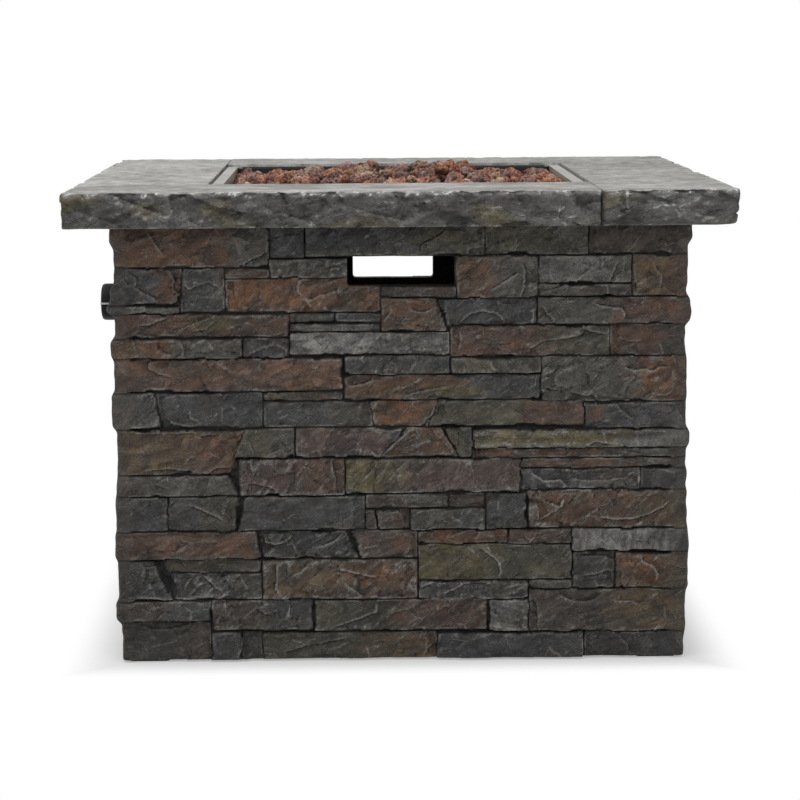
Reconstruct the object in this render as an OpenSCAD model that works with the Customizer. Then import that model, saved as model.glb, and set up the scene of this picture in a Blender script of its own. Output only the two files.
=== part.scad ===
// Square gas fire pit: cast table top on a stacked-stone base, with burner pan, lava rock and gas controls.
// Millimetres, Z up, origin on the floor under the middle of the base. The front faces -Y.

/* [Table top] */
// Side of the top face
top_w = 812; // [740:1:900]
// Thickness of the slab
top_t = 44; // [36:1:56]
// How far the rock-faced edge swells past the top face
edge_bulge = 3; // [0:0.5:6]
// Width of the chipped bevel along the top edge
edge_bevel = 4; // [2:0.5:8]
// Cut across each upright corner
corner_cut = 9; // [4:1:20]
// Width of the joint grooves
groove_w = 3; // [2:0.5:5]
// Depth of the joint grooves
groove_d = 4; // [2:0.5:8]
// Chips broken out of each top edge
edge_chips = 7; // [3:1:10]

/* [Base] */
// Side of the base over its stone faces
base_w = 706; // [640:1:730]
// Height of the walls
base_h = 546; // [480:1:640]
// Thickness of a wall behind its stones
wall_core = 18; // [14:1:26]
// Mean height of a stone above the wall core
stone_proud = 9; // [6:0.5:12]
// Most that a stone stands above or below the mean
proud_spread = 4; // [0:0.5:5]
// Width of the joints between stones
joint_w = 3.4; // [2:0.2:5]
// Most that a stone's face leans
stone_tilt = 1.4; // [0:0.1:2]
// Height of the feet
foot_h = 3; // [2:0.5:8]
// Side of a foot
foot_w = 50; // [36:1:80]

/* [Openings] */
// Width of the hand slot in the front wall
slot_w = 133; // [100:1:180]
// Height of the hand slot
slot_h = 37; // [28:1:50]
// Radius of the openings' corners
slot_r = 4; // [2:0.5:8]
// From the top of the walls down to the hand slot
slot_drop = 40; // [34:1:70]
// Width of the hose opening in the back wall
hose_w = 120; // [90:1:180]
// Height of the hose opening
hose_h = 91; // [60:1:120]

/* [Joinery] */
// Leg of the corner angles
angle_leg = 30; // [24:1:40]
// Length of the corner angles
angle_len = 430; // [300:1:460]
// Length of the top cleats
cleat_len = 120; // [80:1:180]
// Leg of the top cleats
cleat_leg = 25; // [20:1:32]
// Thickness of angles and cleats
angle_t = 3; // [2:0.5:4]
// Shank diameter of the wall screws
screw_d = 6; // [4:0.5:7]
// Length of a wall screw's shank below its head
screw_len = 15; // [10:1:17]

/* [Burner] */
// Inside of the pan
pan_w = 450; // [380:1:480]
// Depth of the pan
pan_depth = 52; // [44:1:58]
// Sheet thickness of the pan
pan_sheet = 1.5; // [1:0.1:2]
// Inside corner radius of the pan
pan_r = 6; // [3:0.5:12]
// Width of the pan's flange
flange_w = 14.5; // [10:0.5:20]
// Gap from flange to table top
flange_gap = 3; // [1:0.5:5]
// Depth of the ledge that the flange sits on
ledge_d = 5; // [3:0.5:8]
// Diameter of the burner ring along its tube
ring_d = 300; // [220:1:340]
// Outside diameter of the burner tube
tube_d = 18; // [14:0.5:20]
// Wall of the burner tube
tube_wall = 1.5; // [1:0.1:2]
// Flame ports along the ring
port_count = 24; // [12:2:36]
// Diameter of a flame port
port_d = 3; // [2:0.1:4]
// Outside diameter of the burner's threaded inlet
inlet_d = 21; // [18:0.5:24]
// Length of the air mixer
mixer_len = 44; // [36:1:48]
// Outside diameter of the feed pipe
pipe_d = 10; // [8:0.5:12]
// Bend radius of the feed pipe
pipe_bend = 30; // [20:1:34]

/* [Lava rock] */
// Rocks along one side of the upper layer
rock_rows = 11; // [8:1:13]
// Rocks along one side of the lower layer
bed_rows = 9; // [7:1:11]
// Height of the heap above its edge
rock_heap = 16; // [6:1:24]
// Gap between neighbouring rocks
rock_gap = 0.4; // [0.3:0.1:0.8]

/* [Controls] */
// Diameter of the knob
knob_d = 50; // [40:1:56]
// Length of the knob
knob_len = 36; // [28:1:40]
// From the top of the walls down to the knob's axis
knob_drop = 130; // [115:1:150]
// How far the knob pushes in
knob_travel = 4; // [2:0.5:4]
// Diameter of the valve stem
stem_d = 8; // [6:0.5:9]
// From the knob's axis down to the igniter's axis
igniter_drop = 62; // [54:1:70]
// Diameter of the igniter button
button_d = 16; // [14:0.5:17]
// How far the igniter button pushes in
button_travel = 3; // [2:0.5:3]
// Width of the control panel
panel_w = 96; // [90:1:120]
// Height of the control panel
panel_h = 170; // [160:1:190]
// Thickness of the control panel
panel_t = 2; // [1.5:0.5:3]

/* [Hidden] */
$fn = 64;

// Overshoot of a cut past the face that it opens
over = 1;
// Radial clearance of a turning or sliding shaft, of a screw in its hole, and between pieces that only sit
run_clear = 0.05;
screw_clear = 0.1;
seat_clear = 0.3;

// Levels
wall_z = foot_h;
top_z = wall_z + base_h;
deck_z = top_z + top_t;

// Walls: half sizes of the core's outer and inner faces
core_half = base_w / 2 - stone_proud;
inner_half = core_half - wall_core;
// Stones run this far into the core
stone_root = 4;

// Stone pattern of one wall, drawn at this size and stretched to the wall. Each row is one stone between the
// middles of its joints: left, right, bottom, top, then how far its left and right ends lean at the top.
pattern_w = 706;
pattern_h = 546;
STONES = [
    // Under the table top
    [-353, -162, 493, 546, 0, 0], [-162, -118, 505, 546, 0, 0], [-118, 104, 506, 546, 0, 0],
    [104, 232, 507, 546, 0, 0], [232, 353, 507, 546, 0, 0],
    // Beside the hand slot
    [-353, -273, 447, 493, 0, 4], [-273, -217, 438, 493, 4, 0], [-217, -162, 480, 493, 0, 0],
    [-217, -25, 437, 480, 0, 0], [-162, -65, 480, 505, 0, 0], [-65, 68, 480, 506, 0, 0],
    [-25, 68, 469, 480, 0, 0], [-25, 68, 455, 469, 0, 0], [68, 169, 454, 507, 0, 0],
    [169, 285, 471, 507, 0, 0], [169, 285, 455, 471, 0, 0], [285, 353, 455, 507, 0, 0],
    // Third course
    [-353, -273, 437, 447, 0, 0], [-353, -138, 407, 437, 0, 0], [-138, -82, 424, 437, 0, 0],
    [-82, -25, 424, 437, 0, 0], [-25, 57, 413, 455, 0, -14], [57, 168, 420, 454, -14, 0],
    [168, 353, 420, 455, 0, 0],
    // Fourth course
    [-353, -196, 381, 407, 0, 0], [-196, -138, 381, 407, 0, 0], [-138, -25, 413, 424, 0, 0],
    [-138, 60, 384, 413, 0, 0], [60, 258, 381, 420, 0, 0], [258, 353, 381, 420, 0, 0],
    // Fifth course
    [-353, -72, 339, 381, 0, 0], [-72, 61, 359, 384, 0, 0], [61, 173, 360, 381, 0, 0],
    [173, 353, 323, 381, 0, 0], [-72, 173, 327, 359, 0, 0], [-172, -72, 327, 339, 0, 0],
    // Sixth course
    [-353, -297, 294, 339, 0, -8], [-297, -172, 294, 339, -8, 0], [-172, -34, 294, 327, 0, -6],
    [-34, 34, 294, 327, -6, 12], [34, 227, 294, 327, 12, 0], [227, 353, 290, 323, 0, 0],
    // Seventh course
    [-353, -213, 235, 292, 0, 17], [-211, -133, 256, 294, 15, 0], [-133, -26, 256, 294, 0, 31],
    [-26, 70, 256, 294, 31, -20], [70, 88, 256, 294, -20, 0], [88, 353, 266, 290, 0, 0],
    [88, 353, 253, 266, 0, 0], [148, 353, 240, 253, 0, 0],
    // Eighth course
    [-353, -203, 208, 235, 0, -12], [-203, -71, 208, 256, 0, 0], [-71, 148, 210, 254, 0, 0],
    [148, 297, 213, 240, 0, 0], [297, 353, 213, 240, 0, 0],
    // Ninth course
    [-353, -292, 164, 208, 0, 0], [-292, -206, 164, 208, 0, 2], [-206, -46, 164, 208, 10, 0],
    [-46, 57, 191, 210, 0, 0], [-46, -30, 164, 191, 0, -3], [-30, 10, 164, 191, -3, 0],
    [10, 104, 164, 191, 0, 0], [57, 104, 191, 210, 0, 0], [104, 156, 164, 210, 0, 0],
    [156, 353, 164, 213, 0, 0],
    // Tenth course
    [-353, -174, 128, 164, 0, -8], [-174, -54, 128, 164, -8, -18], [-52, 19, 128, 164, -12, 0],
    [19, 132, 145, 164, 0, 0], [132, 212, 145, 164, 0, 0], [212, 353, 134, 164, 0, 0],
    // Eleventh course
    [-353, -288, 76, 128, 0, -22], [-300, -176, 111, 128, 0, 0], [-286, -176, 76, 111, 0, 0],
    [-176, 19, 76, 128, 0, 0], [19, 212, 99, 145, 0, 0], [19, 158, 74, 99, 0, 0], [158, 212, 87, 99, 0, 0],
    [212, 266, 87, 134, 0, 0], [266, 353, 87, 134, 0, 0],
    // Twelfth course
    [-353, -240, 49, 76, 0, 0], [-240, -112, 36, 76, 0, 0], [-112, 107, 34, 76, 0, 0],
    [107, 158, 33, 74, 0, 0], [158, 353, 32, 87, 0, 0],
    // On the ground
    [-353, -240, 0, 49, 0, 0], [-240, -202, 0, 36, 0, 0], [-202, -176, 0, 36, 0, 0], [-176, 43, 0, 34, 0, 0],
    [43, 227, 0, 32, 0, 0], [227, 353, 0, 32, 0, 0]];
stone_count = len(STONES);
stone_heights = rands(stone_proud - proud_spread, stone_proud + proud_spread, stone_count, 7);
stone_leans = rands(-stone_tilt, stone_tilt, stone_count, 11);
stone_turns = rands(-stone_tilt / 2, stone_tilt / 2, stone_count, 13);
stone_clips = rands(2, 7, 4 * stone_count, 17);

// Openings
slot_top = top_z - slot_drop;
hose_top = slot_top;

// Pan, from the deck down
ledge_z = deck_z - ledge_d;
flange_top = ledge_z + pan_sheet;
pan_floor = flange_top - pan_depth;
pan_under = pan_floor - pan_sheet;
pan_out = pan_w + 2 * pan_sheet;
flange_out = pan_w + 2 * flange_w;
well_w = flange_out + 2 * flange_gap;
shaft_w = pan_out + 2 * seat_clear;

// Burner train: down from the pan's floor, then along -X to the feed pipe
ring_lift = 4;
ring_z = pan_floor + ring_lift + tube_d / 2;
ring_top = ring_z + tube_d / 2;
hub_d = 44;
gasket_t = 2;
gasket_d = 40;
nut_t = 8;
nut_d = 36;
nut_z = pan_under - gasket_t - nut_t;
elbow_grip = 12;
elbow_drop = 21;
inlet_z = nut_z - elbow_grip;
train_z = nut_z - elbow_drop;
elbow_d = 32;
elbow_arm = 20;
elbow_arm_d = 26;
elbow_bore = 14;
mixer_d = 32;
mixer_grip = 14;
mixer_x = -elbow_arm - mixer_len;
jet_d = 12;
jet_grip = 8;
jet_hex = 20;
jet_t = 12;
jet_x = mixer_x - jet_t;
pipe_wall = 1;
pipe_nut_d = 18;
pipe_nut_t = 8;
riser_run = 52;

// Lava rock, in two layers above the pan's floor
bed_z = pan_floor + rock_gap;
bed_top = ring_top + 1;
rock_z = bed_top + rock_gap;
rock_sunk = 8;
rock_edge = flange_top - rock_sunk;
rock_wave = 9;

// Controls on the left wall
face_x = -base_w / 2;
panel_x = face_x - panel_t;
knob_z = top_z - knob_drop;
igniter_z = knob_z - igniter_drop;
panel_raise = 6;
panel_z = knob_z - igniter_drop / 2 + panel_raise;
panel_corner = 6;
panel_screw_d = 5;
panel_screw_in = 9;
panel_screw_y = panel_w / 2 - panel_screw_in;
panel_screw_z = panel_h / 2 - panel_screw_in;
panel_screw_len = 14;
pad_margin = 6;
hatch_w = 60;
hatch_room = 31;
hatch_h = igniter_drop + 2 * hatch_room;
hatch_z = knob_z - igniter_drop / 2;

// Valve, from the panel's inner face inwards
bonnet_d = 20;
bonnet_out = 8;
valve_nut_d = 30;
valve_nut_t = 5;
valve_d = 34;
valve_len = 62;
bonnet_wall = 13;
chamber_d = stem_d + 8;
chamber_len = 20;
guide_len = 15;
outlet_d = 16;
outlet_len = 12;
outlet_bore = 6;
port_in = 16;
port_x = face_x + valve_len - port_in;
port_boss_d = 20;
port_ball_d = 24;
port_y = 34;
port_drop = 15;
inlet_hex = 22;
inlet_hex_t = 9;
flare_d = 15.88;
flare_len = 14;
flare_bore = 7;
chamber_x = face_x + bonnet_wall;
chamber_end = chamber_x + chamber_len;
stem_stop = 1;
stem_in = chamber_end + guide_len - knob_travel - stem_stop;
outlet_x = face_x + valve_len + outlet_len;
cap_t = 3;
spring_wire = 1.4;

// Knob, from its back rim outwards
bonnet_end = panel_x - bonnet_out;
knob_stand = 5;
knob_back = bonnet_end - knob_stand;
knob_face = knob_back - knob_len;
knob_skin = 3;
knob_round = 3;
knob_boss_d = stem_d + 8;
knob_stop = 2;
knob_boss_back = bonnet_end - knob_travel - knob_stop;
stem_short = 7;
stem_out = knob_face + knob_skin + stem_short;
stem_flat = stem_d / 2 - 1;
pointer_w = 2.4;
pointer_d = 1.6;
pointer_in = 1;
pointer_len = knob_len - 10;
pointer_proud = 0.2;

// Igniter, from its flange inwards
igniter_d = button_d + 6;
igniter_flange_d = igniter_d + 8;
igniter_flange_t = 3;
igniter_len = 72;
igniter_end_t = 3;
igniter_nut_t = 6;
cell_d = 10.5;
cell_len = 44.5;
cell_bore = cell_d + 2 * seat_clear;
igniter_face = panel_x - igniter_flange_t;
igniter_end = igniter_face + igniter_len;
cell_x = igniter_end - igniter_end_t - cell_len;
spring_seat = 2;
spring_end = cell_x - spring_seat;
button_proud = 3;
button_out = button_proud + button_travel;
button_len = 14;
button_back = igniter_face - button_out + button_len;
button_spring_wire = 1;

// Bracket on the pan's floor, behind the hub
bracket_y = 78;
bracket_w = 64;
bracket_d = 22;
bracket_t = 1.5;
probe_pitch = 24;
insulator_d = 7;
insulator_len = 34;
electrode_d = 2.4;
sensor_d = 5;
probe_top = ring_top - 4;
probe_tail = 6;
bracket_screw_d = 4;
bracket_screw_x = bracket_w / 2 - 7;
bracket_screw_len = 6;

// Flat shapes

module rounded_square(w, h, r) {
    square([w - 2 * r, h], center = true);
    square([w, h - 2 * r], center = true);
    for (x = [-1, 1], y = [-1, 1])
        translate([x * (w / 2 - r), y * (h / 2 - r)]) circle(r);
}

module ring_profile(outer, inner) {
    difference() {
        circle(d = outer);
        circle(d = inner);
    }
}

// Hexagon across flats
module hexagon(flats) {
    circle(d = flats / cos(30), $fn = 6);
}

// Shapes along X: a disc or tube that starts at x and runs inwards (+X)

module along_x(x, z, len, y = 0) {
    translate([x, y, z]) rotate([90, 0, 90]) linear_extrude(len) children();
}

// Opening with rounded corners through the wall that faces -Y
module wall_window(w, h, top) {
    translate([0, -inner_half + over, top - h / 2]) rotate([90, 0, 0])
        linear_extrude(wall_core + 2 * stone_proud + 2 * over) rounded_square(w, h, slot_r);
}

// Stones

// Corners of a stone inside its joints, from bottom left anticlockwise. Ends on the wall's edge run past it.
function stone_corners(s) =
    let (kx = base_w / pattern_w,
         kz = base_h / pattern_h,
         g = joint_w / 2,
         past = 2 * stone_proud + proud_spread,
         left = s[0] <= -pattern_w / 2 ? -base_w / 2 - past : s[0] * kx + g,
         right = s[1] >= pattern_w / 2 ? base_w / 2 + past : s[1] * kx - g,
         low = s[2] <= 0 ? 0 : s[2] * kz + g,
         high = s[3] * kz - g)
    [[left, low], [right, low], [right + s[5] * kx, high], [left + s[4] * kx, high]];

function toward(a, b, d) = a + (b - a) * min(d / norm(b - a), 0.3);

// Outline of stone i with its corners broken off
function stone_outline(i) =
    let (c = stone_corners(STONES[i]))
    [for (k = [0 : 3], side = [3, 1]) toward(c[k], c[(k + side) % 4], stone_clips[4 * i + k])];

function on_edge(s) = s[0] <= -pattern_w / 2 || s[1] >= pattern_w / 2;

module stone(i) {
    c = stone_corners(STONES[i]);
    middle = (c[0] + c[2]) / 2;
    turn = on_edge(STONES[i]) ? 0 : stone_turns[i];
    lean = STONES[i][2] <= 0 ? 0 : stone_leans[i];
    translate([middle.x, -core_half, wall_z + middle.y]) rotate([90 + lean, 0, turn])
        translate([0, 0, -stone_root]) linear_extrude(stone_root + stone_heights[i])
            translate(-middle) polygon(stone_outline(i));
}

module stones() {
    for (i = [0 : stone_count - 1]) stone(i);
}

// Wall that faces -Y: core with its stones, cut to 45 degree mitres
module wall_blank(flip = 0) {
    reach = base_w;
    intersection() {
        union() {
            translate([-core_half, -core_half, wall_z]) cube([2 * core_half, wall_core, base_h]);
            mirror([flip, 0, 0]) stones();
        }
        translate([0, 0, wall_z]) linear_extrude(base_h) polygon([[0, 0], [-reach, -reach], [reach, -reach]]);
    }
}

// Places of the wall screws on the wall that faces -Y: corner angles at both ends, cleat in the middle
angle_lower = 20;
angle_screw_in = 40;
angle_z = wall_z + (base_h - angle_len) / 2 - angle_lower;
angle_screw_z = [angle_z + angle_screw_in, angle_z + angle_len - angle_screw_in];
angle_screw_x = inner_half - angle_t - (angle_leg - angle_t) / 2;
cleat_screw_in = 20;
cleat_screw_x = cleat_len / 2 - cleat_screw_in;
cleat_screw_z = top_z - angle_t - (cleat_leg - angle_t) / 2;
cleat_screw_y = inner_half - angle_t - (cleat_leg - angle_t) / 2;
wall_screws = concat([for (x = [-1, 1], z = angle_screw_z) [x * angle_screw_x, z]],
                     [for (x = [-1, 1]) [x * cleat_screw_x, cleat_screw_z]]);
hole_room = 0.5;
hole_deep = screw_len - angle_t + hole_room;

module wall_screw_holes() {
    for (p = wall_screws)
        translate([p.x, -inner_half + over, p.y]) rotate([90, 0, 0])
            cylinder(d = screw_d + 2 * screw_clear, h = hole_deep + over);
}

module front_wall() {
    color("dimgray") difference() {
        wall_blank();
        wall_window(slot_w, slot_h, slot_top);
        wall_screw_holes();
    }
}

module back_wall() {
    color("dimgray") rotate([0, 0, 180]) difference() {
        wall_blank();
        wall_window(hose_w, hose_h, hose_top);
        wall_screw_holes();
    }
}

// Flat pad for the control panel, in place of stones
module panel_pad(extra, depth) {
    translate([0, -core_half + stone_root, panel_z]) rotate([90, 0, 0]) linear_extrude(stone_root + depth)
        rounded_square(panel_w + 2 * extra, panel_h + 2 * extra, panel_corner);
}

module left_wall() {
    color("dimgray") rotate([0, 0, -90]) difference() {
        union() {
            difference() {
                wall_blank(1);
                translate([0, -stone_root, 0]) panel_pad(pad_margin + joint_w, 2 * stone_proud);
            }
            panel_pad(pad_margin, stone_proud);
        }
        translate([0, -inner_half + over, hatch_z]) rotate([90, 0, 0])
            linear_extrude(wall_core + stone_proud + 2 * over) rounded_square(hatch_w, hatch_h, slot_r);
        for (x = [-1, 1], z = [-1, 1])
            translate([x * panel_screw_y, -base_w / 2 - over, panel_z + z * panel_screw_z])
                rotate([-90, 0, 0]) cylinder(d = panel_screw_d + 2 * screw_clear, h = panel_screw_len + over);
        wall_screw_holes();
    }
}

module right_wall() {
    color("dimgray") rotate([0, 0, 90]) difference() {
        wall_blank(1);
        wall_screw_holes();
    }
}

// Joinery

module corner_angle() {
    translate([-inner_half, -inner_half, angle_z]) linear_extrude(angle_len)
        polygon([[0, 0], [angle_leg, 0], [angle_leg, angle_t], [angle_t, angle_t], [angle_t, angle_leg],
                 [0, angle_leg]]);
}

// Hole through sheet that faces -Y on the inside of the wall
module sheet_hole(p) {
    translate([p.x, -inner_half - over, p.y]) rotate([-90, 0, 0])
        cylinder(d = screw_d + 2 * screw_clear, h = angle_t + 2 * over);
}

module corner_angles() {
    color("silver") for (q = [0 : 3]) rotate([0, 0, 90 * q]) difference() {
        corner_angle();
        for (z = angle_screw_z) {
            sheet_hole([-angle_screw_x, z]);
            rotate([0, 0, -90]) sheet_hole([angle_screw_x, z]);
        }
    }
}

// Screw with a hexagon head, driven in -Z from its head's seat at the origin
module hex_screw(d, len) {
    head_t = 0.6 * d;
    translate([0, 0, -len]) cylinder(d = d, h = len);
    linear_extrude(head_t) hexagon(1.7 * d);
}

module corner_screws() {
    color("gainsboro") for (q = [0 : 3]) rotate([0, 0, 90 * q])
        for (x = [-1, 1], z = angle_screw_z)
            translate([x * angle_screw_x, -inner_half + angle_t, z]) rotate([-90, 0, 0])
                hex_screw(screw_d, screw_len);
}

module top_cleats() {
    color("silver") for (q = [0 : 3]) rotate([0, 0, 90 * q]) difference() {
        translate([-cleat_len / 2, -inner_half, top_z]) rotate([90, 0, 90]) linear_extrude(cleat_len)
            polygon([[0, 0], [0, -cleat_leg], [angle_t, -cleat_leg], [angle_t, -angle_t], [cleat_leg, -angle_t],
                     [cleat_leg, 0]]);
        for (x = [-1, 1]) {
            sheet_hole([x * cleat_screw_x, cleat_screw_z]);
            translate([x * cleat_screw_x, -cleat_screw_y, top_z - angle_t - over])
                cylinder(d = screw_d + 2 * screw_clear, h = angle_t + 2 * over);
        }
    }
}

module cleat_screws() {
    color("gainsboro") for (q = [0 : 3]) rotate([0, 0, 90 * q]) for (x = [-1, 1]) {
        translate([x * cleat_screw_x, -inner_half + angle_t, cleat_screw_z]) rotate([-90, 0, 0])
            hex_screw(screw_d, screw_len);
        translate([x * cleat_screw_x, -cleat_screw_y, top_z - angle_t]) rotate([180, 0, 0])
            hex_screw(screw_d, screw_len);
    }
}

module foot_pads() {
    pad_round = 5;
    middle = core_half - foot_w / 2;
    color("black") for (x = [-1, 1], y = [-1, 1])
        translate([x * middle, y * middle, 0]) linear_extrude(foot_h)
            rounded_square(foot_w, foot_w, pad_round);
}

// Table top

// Section of the slab: bevelled top edge, swollen rock face, tucked-in lower edge
module slab_section() {
    h = top_w / 2;
    side = [[h, top_t], [h + edge_bulge * 0.6, top_t - edge_bevel], [h + edge_bulge, top_t * 0.55],
            [h + edge_bulge * 0.7, top_t * 0.2], [h - edge_bevel / 2, 0]];
    count = len(side);
    polygon(concat(side, [for (i = [count - 1 : -1 : 0]) [-side[i].x, side[i].y]]));
}

module slab_blank() {
    reach = top_w / 2 + edge_bulge + over;
    cut = top_w / 2 + edge_bulge - corner_cut;
    intersection() {
        rotate([90, 0, 0]) translate([0, 0, -reach]) linear_extrude(2 * reach) slab_section();
        rotate([90, 0, 90]) translate([0, 0, -reach]) linear_extrude(2 * reach) slab_section();
        linear_extrude(top_t) polygon([for (q = [0 : 3]) let (a = 90 * q, p = [[reach, -cut], [reach, cut]])
            for (k = p) [k.x * cos(a) - k.y * sin(a), k.x * sin(a) + k.y * cos(a)]]);
    }
}

// Chips broken out of the edges, each a flat cut at its own angle
chip_places = rands(-1, 1, 4 * edge_chips, 23);
chip_turns = rands(-9, 9, 4 * edge_chips, 29);
chip_sizes = rands(10, 26, 4 * edge_chips, 31);

module edge_chip(i, side) {
    pitch = top_w / edge_chips;
    k = side * edge_chips + i;
    bite = 2.2;
    size = chip_sizes[k];
    along = (i - (edge_chips - 1) / 2) * pitch + chip_places[k] * pitch / 4;
    translate([along, -top_w / 2 - edge_bulge * 0.4, top_t])
        rotate([45 + chip_turns[k], 0, chip_turns[k]]) translate([-size, -2 * size, -bite])
            cube([2 * size, 4 * size, size]);
}

module table_top() {
    seam_x = well_w / 2 - groove_w / 2;
    seam_low = 0.35 * top_t;
    color("darkgray") translate([0, 0, top_z]) difference() {
        slab_blank();
        translate([0, 0, top_t - ledge_d]) linear_extrude(ledge_d + over) square(well_w, center = true);
        translate([0, 0, -over]) linear_extrude(top_t + 2 * over) rounded_square(shaft_w, shaft_w, pan_r);
        for (q = [0 : 3]) rotate([0, 0, 90 * q]) {
            translate([seam_x, -top_w, top_t - groove_d])
                cube([groove_w, top_w - well_w / 2 + over, groove_d + over]);
            translate([seam_x, -top_w, seam_low]) cube([groove_w, top_w / 2 + groove_d, top_t]);
            for (i = [0 : edge_chips - 1]) edge_chip(i, q);
            for (x = [-1, 1])
                translate([x * cleat_screw_x, -cleat_screw_y, -over])
                    cylinder(d = screw_d + 2 * screw_clear, h = hole_deep + over);
        }
    }
}

// Burner

module burner_pan() {
    weep_d = 8;
    weep = pan_w / 2 - 30;
    color("silver") difference() {
        union() {
            translate([0, 0, ledge_z]) linear_extrude(pan_sheet)
                rounded_square(flange_out, flange_out, pan_r);
            translate([0, 0, pan_under]) linear_extrude(ledge_z - pan_under)
                rounded_square(pan_out, pan_out, pan_r + pan_sheet);
        }
        translate([0, 0, pan_floor]) linear_extrude(pan_depth + over) rounded_square(pan_w, pan_w, pan_r);
        translate([0, 0, pan_under - over]) linear_extrude(pan_sheet + 2 * over) {
            circle(d = inlet_d + 2 * seat_clear);
            for (x = [-1, 1], y = [-1, 1]) translate([x * weep, y * weep]) circle(d = weep_d);
            translate([-probe_pitch / 2, bracket_y]) circle(d = insulator_d + 2 * seat_clear);
            translate([probe_pitch / 2, bracket_y]) circle(d = sensor_d + 2 * seat_clear);
            for (x = [-1, 1]) translate([x * bracket_screw_x, bracket_y])
                circle(d = bracket_screw_d + 2 * screw_clear);
        }
    }
}

module burner_ring() {
    bore_d = tube_d - 2 * tube_wall;
    cross_d = tube_d - 2;
    cross_bore_d = cross_d - 2 * tube_wall;
    hub_t = tube_d + ring_lift;
    color("lightsteelblue") difference() {
        union() {
            translate([0, 0, ring_z]) rotate_extrude() translate([ring_d / 2, 0]) circle(d = tube_d);
            along_x(-ring_d / 2, ring_z, ring_d) circle(d = cross_d);
            translate([0, 0, pan_floor]) cylinder(d = hub_d, h = hub_t);
            translate([0, 0, inlet_z]) cylinder(d = inlet_d, h = pan_floor - inlet_z + over);
        }
        translate([0, 0, ring_z]) rotate_extrude() translate([ring_d / 2, 0]) circle(d = bore_d);
        along_x(-ring_d / 2, ring_z, ring_d) circle(d = cross_bore_d);
        translate([0, 0, inlet_z - over]) cylinder(d = inlet_d - 5, h = ring_z - inlet_z + over);
        for (i = [0 : port_count - 1]) rotate([0, 0, (i + 0.5) * 360 / port_count])
            translate([ring_d / 2, 0, ring_z]) cylinder(d = port_d, h = tube_d);
    }
}

module burner_gasket() {
    color("dimgray") translate([0, 0, pan_under - gasket_t]) linear_extrude(gasket_t)
        ring_profile(gasket_d, inlet_d + 2 * seat_clear);
}

module burner_nut() {
    color("goldenrod") translate([0, 0, nut_z]) linear_extrude(nut_t) difference() {
        hexagon(nut_d);
        circle(d = inlet_d + 2 * screw_clear);
    }
}

// Elbow on the burner's inlet, with a stub that the mixer fits over
module burner_elbow() {
    low = train_z - elbow_d / 2;
    stub_end = -elbow_arm - mixer_grip + seat_clear;
    color("silver") difference() {
        union() {
            translate([0, 0, low]) cylinder(d = elbow_d, h = nut_z - seat_clear - low);
            along_x(-elbow_arm, train_z, elbow_arm) circle(d = elbow_arm_d);
            along_x(stub_end, train_z, -stub_end) circle(d = inlet_d);
        }
        translate([0, 0, inlet_z - seat_clear])
            cylinder(d = inlet_d + 2 * screw_clear, h = elbow_grip + over);
        translate([0, 0, train_z]) cylinder(d = elbow_bore, h = inlet_z - train_z);
        along_x(stub_end - over, train_z, over - stub_end) circle(d = elbow_bore);
    }
}

module air_mixer() {
    throat_d = 15;
    air_d = 10;
    throat_len = mixer_len - mixer_grip - jet_grip;
    color("silver") difference() {
        along_x(mixer_x, train_z, mixer_len) circle(d = mixer_d);
        along_x(-elbow_arm - mixer_grip, train_z, mixer_grip + over) circle(d = inlet_d + 2 * screw_clear);
        along_x(mixer_x + jet_grip, train_z, throat_len + over) circle(d = throat_d);
        along_x(mixer_x - over, train_z, jet_grip + 2 * over) circle(d = jet_d + 2 * screw_clear);
        for (a = [0, 90]) translate([mixer_x + jet_grip + throat_len / 2, 0, train_z]) rotate([a, 0, 0])
            cylinder(d = air_d, h = 2 * mixer_d, center = true);
    }
}

module gas_jet() {
    orifice_d = 2;
    socket_d = 6;
    color("goldenrod") difference() {
        union() {
            along_x(jet_x, train_z, jet_t) hexagon(jet_hex);
            along_x(jet_x + jet_t, train_z, jet_grip) circle(d = jet_d);
        }
        along_x(jet_x - over, train_z, jet_t + over) circle(d = socket_d);
        along_x(jet_x, train_z, jet_t + jet_grip + over) circle(d = orifice_d);
    }
}

module pipe_section() {
    ring_profile(pipe_d, pipe_d - 2 * pipe_wall);
}

// Quarter bend in the plane y = 0 about x, z, from this angle on
module pipe_elbow(x, z, from) {
    translate([x, 0, z]) rotate([90, 0, 0]) rotate([0, 0, from])
        rotate_extrude(angle = 90) translate([pipe_bend, 0]) pipe_section();
}

// Out of the valve, up, and along to the jet
module feed_pipe() {
    riser_x = outlet_x + riser_run;
    color("silver") {
        along_x(outlet_x, knob_z, riser_run - pipe_bend) pipe_section();
        pipe_elbow(riser_x - pipe_bend, knob_z + pipe_bend, -90);
        translate([riser_x, 0, knob_z + pipe_bend]) linear_extrude(train_z - knob_z - 2 * pipe_bend)
            pipe_section();
        pipe_elbow(riser_x + pipe_bend, train_z - pipe_bend, 90);
        along_x(riser_x + pipe_bend, train_z, jet_x - riser_x - pipe_bend) pipe_section();
    }
}

module pipe_nuts() {
    color("goldenrod") {
        along_x(outlet_x, knob_z, pipe_nut_t) pipe_nut();
        along_x(jet_x - pipe_nut_t, train_z, pipe_nut_t) pipe_nut();
    }
}

module pipe_nut() {
    difference() {
        hexagon(pipe_nut_d);
        circle(d = pipe_d + 2 * screw_clear);
    }
}

// Lava rock

function hash(i, j, k) = let (v = sin(i * 127.1 + j * 311.7 + k * 74.7) * 43758.5453) v - floor(v);
function spread(i, j, k) = 2 * hash(i, j, k) - 1;

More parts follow.
